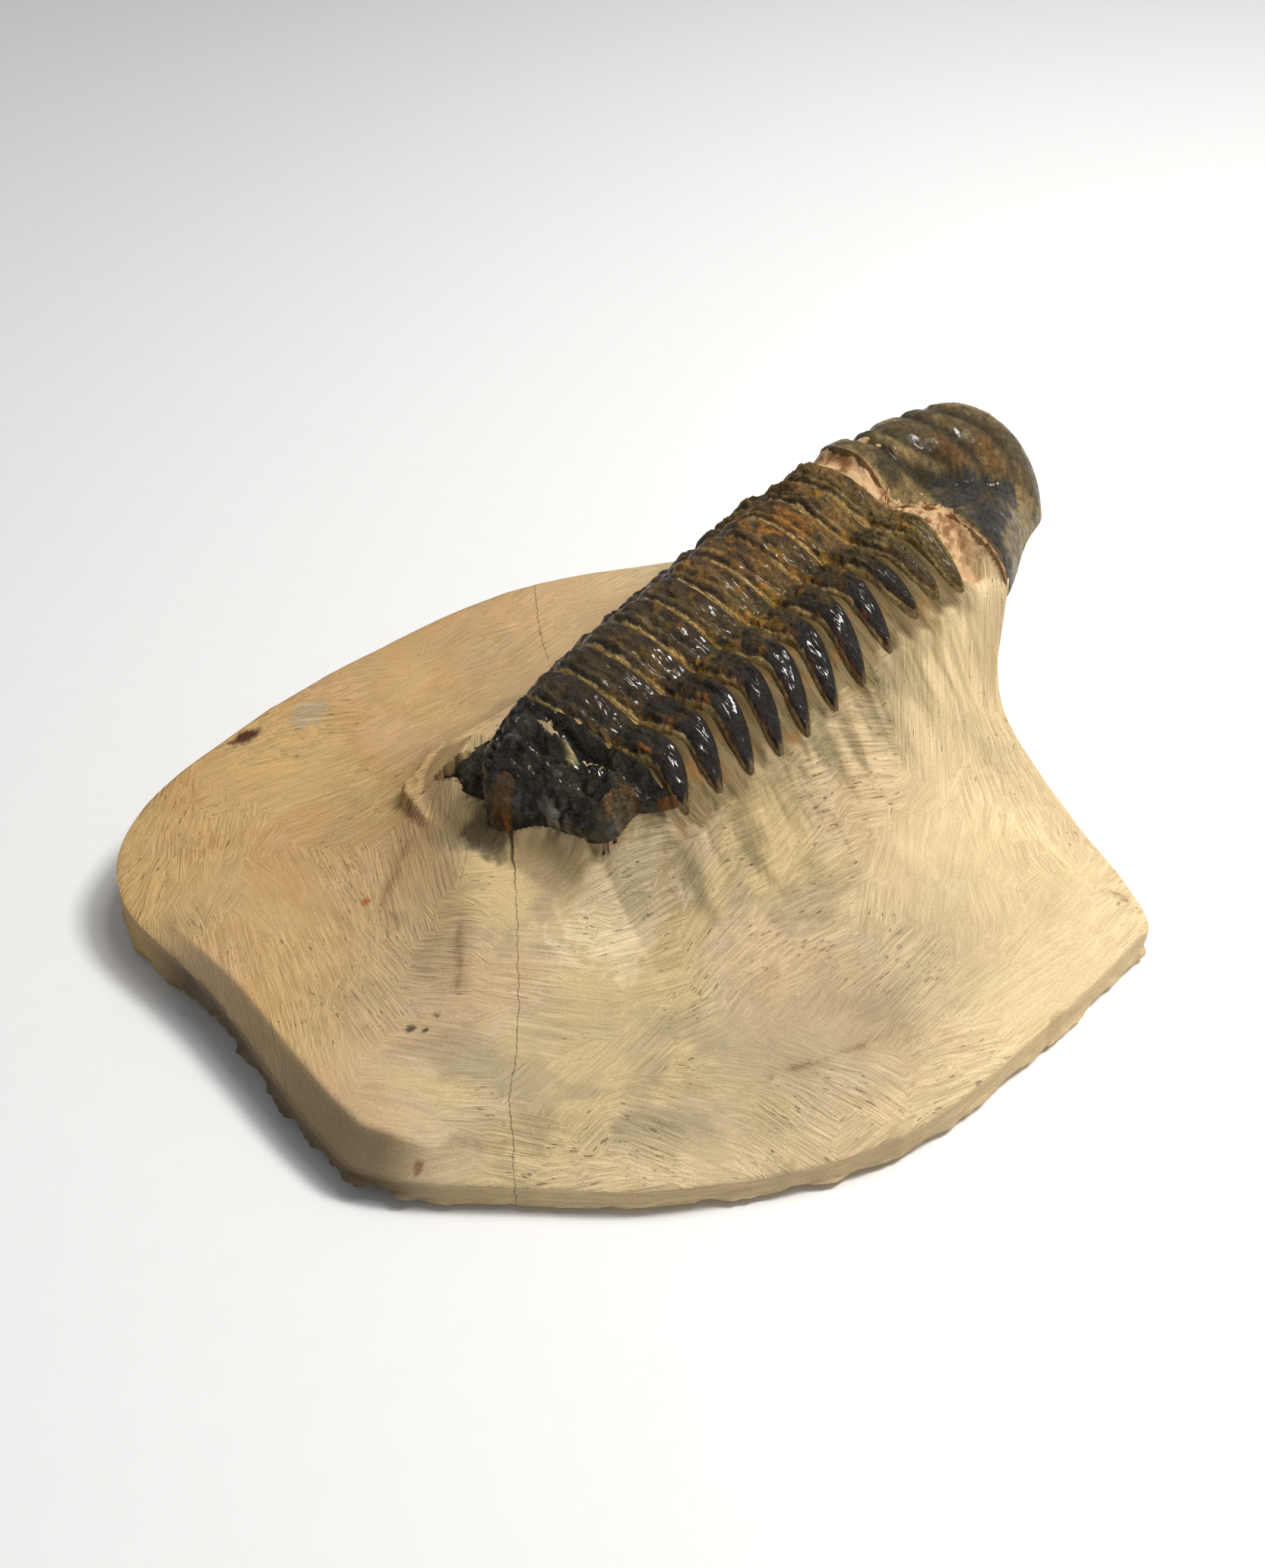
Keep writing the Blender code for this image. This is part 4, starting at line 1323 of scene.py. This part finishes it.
def stone_outside(u, v):
    """The stone's top and sides, their looks, and what its base and strokes need."""
    turn = (np.arctan2(-v, -u) / (2 * math.pi)) % 1.0
    ring = np.maximum(np.abs(u), np.abs(v))
    inner, down = share(ring, 0.0, TOP_SHARE), share(ring, TOP_SHARE, 1.0)
    left_wall = wall_share(turn)
    edge_x, edge_y, edge_z = rim_point(turn).T
    edge_z = edge_z + PEAK_RISE * bump(np.hypot(edge_x - PEAK[0], edge_y - PEAK[1]) / 4.5)
    x = STONE_CENTRE[0] + (edge_x - STONE_CENTRE[0]) * inner
    y = STONE_CENTRE[1] + (edge_y - STONE_CENTRE[1]) * inner
    carved = stone_height(x, y)
    top = banked(brought_down(carved, edge_z, inner, left_wall), x, y, 0.6)
    out, in_body, in_gap = shell_zones(x, y, down)
    patch, over = nearest_patch(x, y, upper_patches)
    open_top, filled = top_relief(x, y, top, patch, over, in_body, in_gap)
    open_top = open_top * (1 - left_wall * share(inner, TUCK_START, 1.0))
    z = top + (open_top + filled) * (1 - down)
    z = z + (foot_height(edge_x, edge_y, edge_z, left_wall) - z) * down
    ragged = down * (0.25 + 0.75 * down) * (0.3 + 0.25 * left_wall)
    swell = 1 + ragged / 45 * rough(edge_x, edge_y, 2 * z, 0.45, 4)
    x = STONE_CENTRE[0] + (x - STONE_CENTRE[0]) * swell
    y = STONE_CENTRE[1] + (y - STONE_CENTRE[1]) * swell

    wall = left_wall * ease((inner - TUCK_START) / 0.008)
    paint = stone_paint(x, y, z, carved, out, in_body, in_gap, down, wall)
    shade = (patch * SHADE_STEP) % 1 - 0.5
    paint = paint * (1 + 0.09 * shade * over * (1 - in_body))[:, None]
    # Painted light: the ground bevel at the front is painted lighter where it faces the window.
    lit_front_bevel = ease((inner - 0.88) / 0.08) * ease((-14 - y) / 8) * (1 - left_wall)
    paint = blend(paint, PAINTED_BEVEL_LIGHT, 0.45 * lit_front_bevel)
    tooled = (1 - 0.5 * ease(down * 5)) * (1 - 0.3 * in_gap) * (1 - 0.7 * wall)
    tooled = tooled * (0.45 + 0.75 * ease(0.5 + 1.3 * rough(x, y, 60.0, 0.09, 2)))
    looks = {"paint": np.clip(paint, 0, 1), "over": over, "tooled": tooled}
    looks.update(crack_looks(x, y))

    side_strokes = np.column_stack([turn * 300, z, np.full(len(u), SIDE_GRAIN)])
    fill_strokes = np.column_stack([y * 1.2, x, np.full(len(u), FILL_GRAIN)])
    own_strokes = np.where((down > 0)[:, None], side_strokes, fill_strokes)
    unscraped = (down > 0) | (in_body > 0.5)
    return np.column_stack([x, y, z]), looks, left_wall, unscraped, own_strokes


def add_strokes(piece, quads, points, unscraped, own_strokes):
    """Stores for each corner of each face where it lies along its own patch's strokes."""
    corners = points[quads]
    middle = corners.mean(axis=1)
    plain = unscraped[quads].all(axis=1)[:, None, None]
    for label, patches in (("strokes_upper", upper_patches), ("strokes_lower", lower_patches)):
        patch, _ = nearest_patch(middle[:, 0], middle[:, 1], patches)
        patch = np.repeat(patch[:, None], 4, axis=1)
        strokes = along_strokes(corners[:, :, 0], corners[:, :, 1], patch, patches)
        strokes = np.where(plain, own_strokes[quads], strokes).reshape(-1, 3)
        values = np.zeros((len(piece.data.loops), 3))
        values[:len(strokes)] = strokes
        attribute = piece.data.attributes.new(label, "FLOAT_VECTOR", "CORNER")
        attribute.data.foreach_set("vector", values.ravel())


def make_stone(cells):
    """The stone as one closed skin: top and sides from the grid, and a flat base."""
    u, v, quads, border = grid(cells, cells)
    points, looks, left_wall, unscraped, own_strokes = stone_outside(u, v)
    inset = (BASE_INSET + WALL_INSET * left_wall[border])[:, None]
    base = points[border] * (1, 1, 0) * (1 - inset) + (STONE_CENTRE[0], 0.0, 0.0) * inset
    ring = u.size + np.arange(len(border))
    wall = np.stack([border, ring, np.roll(ring, -1), np.roll(border, -1)], -1)
    faces = quads.tolist() + wall.tolist() + [ring[::-1].tolist()]
    looks = {label: np.concatenate([values, values[border]]) for label, values in looks.items()}
    piece = make_piece("stone", np.vstack([points, base]), faces, looks, "matrix")
    add_strokes(piece, quads, points, unscraped, own_strokes)
    return piece


STONE_CELLS = 306
stone = make_stone(STONE_CELLS)
print("stone faces:", len(stone.data.polygons))

# %% [markdown]
# ## Finishes
#
# A finish is a shader graph. A small class lets the graph be written as sums: it wraps one
# socket, and the usual signs add the node that does the work.

# %% Shader sums
def solid(colour):
    """A colour as a socket takes it, with full cover."""
    return (*colour, 1.0)


class Wire:
    """One output in a shader graph, which +, -, *, / work on."""

    def __init__(self, finish, socket):
        self.finish = finish
        self.socket = socket

    def maths(self, operation, *values):
        return self.finish.node("ShaderNodeMath", {"operation": operation}, dict(enumerate(values)))

    def __add__(self, other):
        return self.maths("ADD", self, other)

    def __radd__(self, other):
        return self.maths("ADD", other, self)

    def __sub__(self, other):
        return self.maths("SUBTRACT", self, other)

    def __rsub__(self, other):
        return self.maths("SUBTRACT", other, self)

    def __mul__(self, other):
        return self.maths("MULTIPLY", self, other)

    def __rmul__(self, other):
        return self.maths("MULTIPLY", other, self)

    def __truediv__(self, other):
        return self.maths("DIVIDE", self, other)

    def size(self):
        """How large this is, without its sign."""
        return self.maths("ABSOLUTE", self)

    def step(self, low, high, start=0.0, end=1.0):
        """Goes softly from start to end as this goes from low to high."""
        values = {"Value": self, "From Min": low, "From Max": high, "To Min": start, "To Max": end}
        return self.finish.node("ShaderNodeMapRange", {"interpolation_type": "SMOOTHSTEP"}, values)


class Finish:
    """A material and the shader graph behind it."""

    def __init__(self, name):
        self.material = bpy.data.materials.new(name)
        self.material.use_nodes = True
        self.tree = self.material.node_tree
        self.shader = self.tree.nodes["Principled BSDF"]

    def plug(self, target, value):
        if isinstance(value, Wire):
            self.tree.links.new(value.socket, target)
        else:
            target.default_value = value

    def set(self, **values):
        """Sets or links the shader's own sockets, named with _ for a space."""
        for name, value in values.items():
            self.plug(self.shader.inputs[name.replace("_", " ")], value)

    def node(self, kind, settings=None, sockets=None, output=0):
        node = self.tree.nodes.new(kind)
        for name, value in (settings or {}).items():
            setattr(node, name, value)
        for name, value in (sockets or {}).items():
            self.plug(node.inputs[name], value)
        return Wire(self, node.outputs[output])

    def stored(self, label, output="Fac"):
        return self.node("ShaderNodeAttribute", {"attribute_name": label}, output=output)

    def vector(self, operation, *values):
        return self.node("ShaderNodeVectorMath", {"operation": operation}, dict(enumerate(values)))

    def place(self):
        """Where a point lies on the piece, in millimetres."""
        spot = self.node("ShaderNodeTexCoord", output="Object")
        return self.vector("MULTIPLY", spot, (1000, 1000, 1000))

    def noise(self, vector, scale, detail=3.0, roughness=0.55):
        values = {"Vector": vector, "Scale": scale, "Detail": detail, "Roughness": roughness}
        return self.node("ShaderNodeTexNoise", {}, values)

    def mix(self, amount, a, b, how="MIX"):
        settings = {"data_type": "RGBA", "blend_type": how, "clamp_factor": True}
        return self.node("ShaderNodeMix", settings, {0: amount, 6: a, 7: b}, output=2)

    def tint(self, colour, amount, low, high):
        """Shades the colour from one factor to another as amount goes from 0 to 1."""
        return self.mix(1.0, colour, self.mix(amount, solid(low), solid(high)), "MULTIPLY")

    def bump(self, height, strength, distance):
        values = {"Height": height, "Strength": strength, "Distance": distance}
        return self.node("ShaderNodeBump", {}, values)

    def wear(self, piece):
        piece.data.materials.clear()
        piece.data.materials.append(self.material)


print("finish tools ready")

# %% [markdown]
# Limestone is dull and pale. The scraper leaves fine grooves less than half a millimetre
# apart, painted lighter on their crests and darker in their hollows as painted light and shade,
# with short dark ticks where it tore grains out. A natural crack runs down from the tail, black
# and wide at its top and hair thin lower down.

# %% Limestone
PIT_BROWN = srgb(92, 74, 52)
CRACK_BROWN = srgb(70, 52, 36)

limestone = Finish("scraped_limestone")
place = limestone.place()
over = limestone.stored("over")
tooled = limestone.stored("tooled")


def scraped(layer, along, across, detail):
    """Noise about zero, stretched along the strokes of one layer of patches."""
    strokes = limestone.vector("MULTIPLY", limestone.stored(layer, "Vector"), (along, across, 1.0))
    return limestone.noise(strokes, 1.0, detail, 0.6)


def scraped_both(along, across, detail):
    """The upper layer's strokes where it is sure of its patch, and the lower's elsewhere."""
    upper = scraped("strokes_upper", along, across, detail)
    lower = scraped("strokes_lower", along, across, detail)
    return (lower + (upper - lower) * over - 0.5) * tooled + 0.5


grooves = scraped_both(0.18, 3.4, 2.0)
scratches = scraped_both(0.4, 7.5, 1.0)
ticks = scraped_both(0.75, 3.6, 1.0)
grain = limestone.noise(place, 6.0, 3.0, 0.7)
mottle = limestone.noise(place, 0.45, 4.0, 0.6)
waver = limestone.noise(place, 0.9, 3.0, 0.6)
colour = limestone.stored("paint", "Color")
# Painted light and shade: the grooves and scratches tint the colour lighter on their crests and
# darker in their hollows.
for marks, darker, lighter in (
    (grooves.step(0.36, 0.64), (0.88, 0.87, 0.845), (1.09, 1.085, 1.075)),
    (scratches.step(0.35, 0.65), (0.91, 0.905, 0.89), (1.08, 1.08, 1.07)),
    (grain.step(0.25, 0.75), (0.86, 0.855, 0.84), (1.10, 1.10, 1.08)),
):
    colour = limestone.tint(colour, marks, darker, lighter)
pitted = ticks.step(0.67, 0.74) * mottle.step(0.38, 0.62)
colour = limestone.mix(0.6 * pitted, colour, solid(PIT_BROWN))
off_crack = (limestone.stored("crack") + 0.7 * (waver - 0.5)).size()
width = limestone.stored("crack_width")
cracked = (off_crack / width).step(0.4, 1.3, 1.0, 0.0)
gaping = width.step(0.08, 0.2, 0.34, 0.92)
colour = limestone.mix(gaping * cracked, colour, solid(CRACK_BROWN))
height = 0.5 * grooves + 0.25 * scratches + 0.18 * grain - 0.35 * pitted - gaping * cracked
normal = limestone.bump(height, 0.8, 0.0004)
limestone.set(Base_Color=colour, Roughness=0.88, Specular_IOR_Level=0.2, Normal=normal)
limestone.wear(stone)
print("limestone nodes:", len(limestone.tree.nodes))

# %% [markdown]
# The shell was replaced by calcite and then rubbed to a shine, so it is like dark glass under
# a thin lacquer: a coat over a rougher base. Its gloss follows the gloss stored in the skin,
# broken up by fine wrinkles and specks of dust.

# %% Shell
DUST = srgb(136, 112, 74)
COAT_ROUGHNESS = 0.1


def shell_finish(name, wrinkle_scale, wrinkle_depth, coat):
    """Lacquered fossil shell; coat is how strong the lacquer is where the shell is glossy."""
    shell = Finish(name)
    place = shell.place()
    gloss = shell.stored("gloss")
    fine = shell.noise(place, wrinkle_scale, 4.0, 0.6)
    dust = shell.noise(place, 6.0, 3.0, 0.7)
    blotch = shell.noise(place, 0.9, 4.0, 0.6)
    colour = shell.stored("paint", "Color")
    colour = shell.tint(colour, fine.step(0.32, 0.68), (0.70, 0.685, 0.66), (1.28, 1.25, 1.19))
    colour = shell.mix(0.2 * dust.step(0.6, 0.72), colour, solid(DUST))
    roughness = 0.42 + 0.45 * (1 - gloss) + 0.25 * (blotch - 0.5) + 0.15 * (dust - 0.5)
    lacquer = coat * gloss * blotch.step(0.42, 0.6, 0.1, 1.0)
    normal = shell.bump(wrinkle_depth * fine + 0.25 * dust, 1.0, 0.0005)
    shell.set(Base_Color=colour, Roughness=roughness, Specular_IOR_Level=0.2, Normal=normal)
    shell.set(Coat_Weight=lacquer, Coat_Roughness=COAT_ROUGHNESS)
    return shell


shell_finish("head_shell", 1.5, 0.8, 0.7).wear(head)
shell_finish("tail_shell", 2.0, 1.1, 1.0).wear(tail)
for number, segment in enumerate(segments, 1):
    lacquer = 0.8 if number > 3 else 0.4
    shell_finish(f"segment_shell_{number:02d}", 2.1, 0.9, lacquer).wear(segment)
print("finishes:", len(bpy.data.materials))

# %% [markdown]
# ## The table, the light and the camera
#
# The specimen stands on a white sheet near a window: one broad soft light from the right, a
# small bright pane beside it that gives the lacquer its highlights, and a pale room all round.
# The sheet's colour is painted a little darker on the side away from the window, as painted
# shade. The camera looks down on the specimen from the tail's right side.

# %% Table
SHEET_SIZE = 4.0
SHEET_Z = -0.00003         # a hair below the stone's base
TO_WINDOW = (0.68, -0.73, 0.0)

bpy.ops.mesh.primitive_plane_add(size=SHEET_SIZE, location=(0.0, 0.0, SHEET_Z))
floor = bpy.context.object
floor.name = "white_sheet"
paper = Finish("paper")
fibres = paper.noise(paper.place(), 0.35, 4.0, 0.6)
along_sheet = {"operation": "DOT_PRODUCT"}, {0: paper.place(), 1: TO_WINDOW}
to_window = paper.node("ShaderNodeVectorMath", *along_sheet, output=1)
# Painted shade: the sheet's colour is darker away from the window.
painted_window_falloff = to_window.step(-130.0, 80.0, 0.89, 1.0)
white = paper.mix(fibres, (0.88, 0.88, 0.875, 1), (0.91, 0.91, 0.905, 1))
paper.set(Base_Color=paper.mix(painted_window_falloff, (0.0, 0.0, 0.0, 1), white), Roughness=0.9)
paper.wear(floor)
print("sheet, m:", SHEET_SIZE)

# %% Light
ROOM_COLOUR = (0.97, 0.98, 1.0, 1.0)
ROOM_STRENGTH = 0.27

world = bpy.data.worlds.new("room")
bpy.context.scene.world = world
world.use_nodes = True
background = world.node_tree.nodes["Background"]
background.inputs["Color"].default_value = ROOM_COLOUR
background.inputs["Strength"].default_value = ROOM_STRENGTH


def area_light(name, location, target, size, watts, colour):
    """A rectangular lamp of a size in metres that faces a target."""
    data = bpy.data.lights.new(name, "AREA")
    data.shape = "RECTANGLE"
    data.size, data.size_y = size
    data.energy = watts
    data.color = colour
    lamp = bpy.data.objects.new(name, data)
    lamp.location = location
    facing = Vector(target) - Vector(location)
    lamp.rotation_euler = facing.to_track_quat("-Z", "Y").to_euler()
    bpy.context.scene.collection.objects.link(lamp)
    return lamp


window = area_light("window", (0.14, -0.125, 0.46), (0.0, 0.0, 0.0), (0.25, 0.25), 1.4,
                    (1.0, 0.985, 0.96))
window.visible_glossy = False
area_light("window_pane", (0.155, -0.16, 0.40), (0.0, 0.0, 0.01), (0.07, 0.11), 1.15,
           (1.0, 0.99, 0.97))
bpy.context.scene.view_settings.view_transform = "Standard"
print("lamps:", len(bpy.data.lights))

# %% Camera
AZIMUTH, ELEVATION = math.radians(-47), math.radians(39)
AIM = (-3.4, 3.6, 9.2)     # in the animal's own frame
DISTANCE = 0.184
SENSOR = 36.0
FRAME_HEIGHT = 2064        # in pixels, and the focal length in the same pixels
FOCAL_LENGTH = 2440

away = Vector((
    math.sin(AZIMUTH) * math.cos(ELEVATION),
    -math.cos(AZIMUTH) * math.cos(ELEVATION),
    math.sin(ELEVATION),
))
data = bpy.data.cameras.new("camera")
data.lens = SENSOR * FOCAL_LENGTH / FRAME_HEIGHT
data.clip_start = 0.001
camera = bpy.data.objects.new("camera", data)
camera.location = Vector((AIM - CENTRE) * MM) + away * DISTANCE
camera.rotation_euler = away.to_track_quat("Z", "Y").to_euler()
bpy.context.scene.collection.objects.link(camera)
bpy.context.scene.camera = camera
print("camera at, mm:", [round(1000 * c) for c in camera.location])
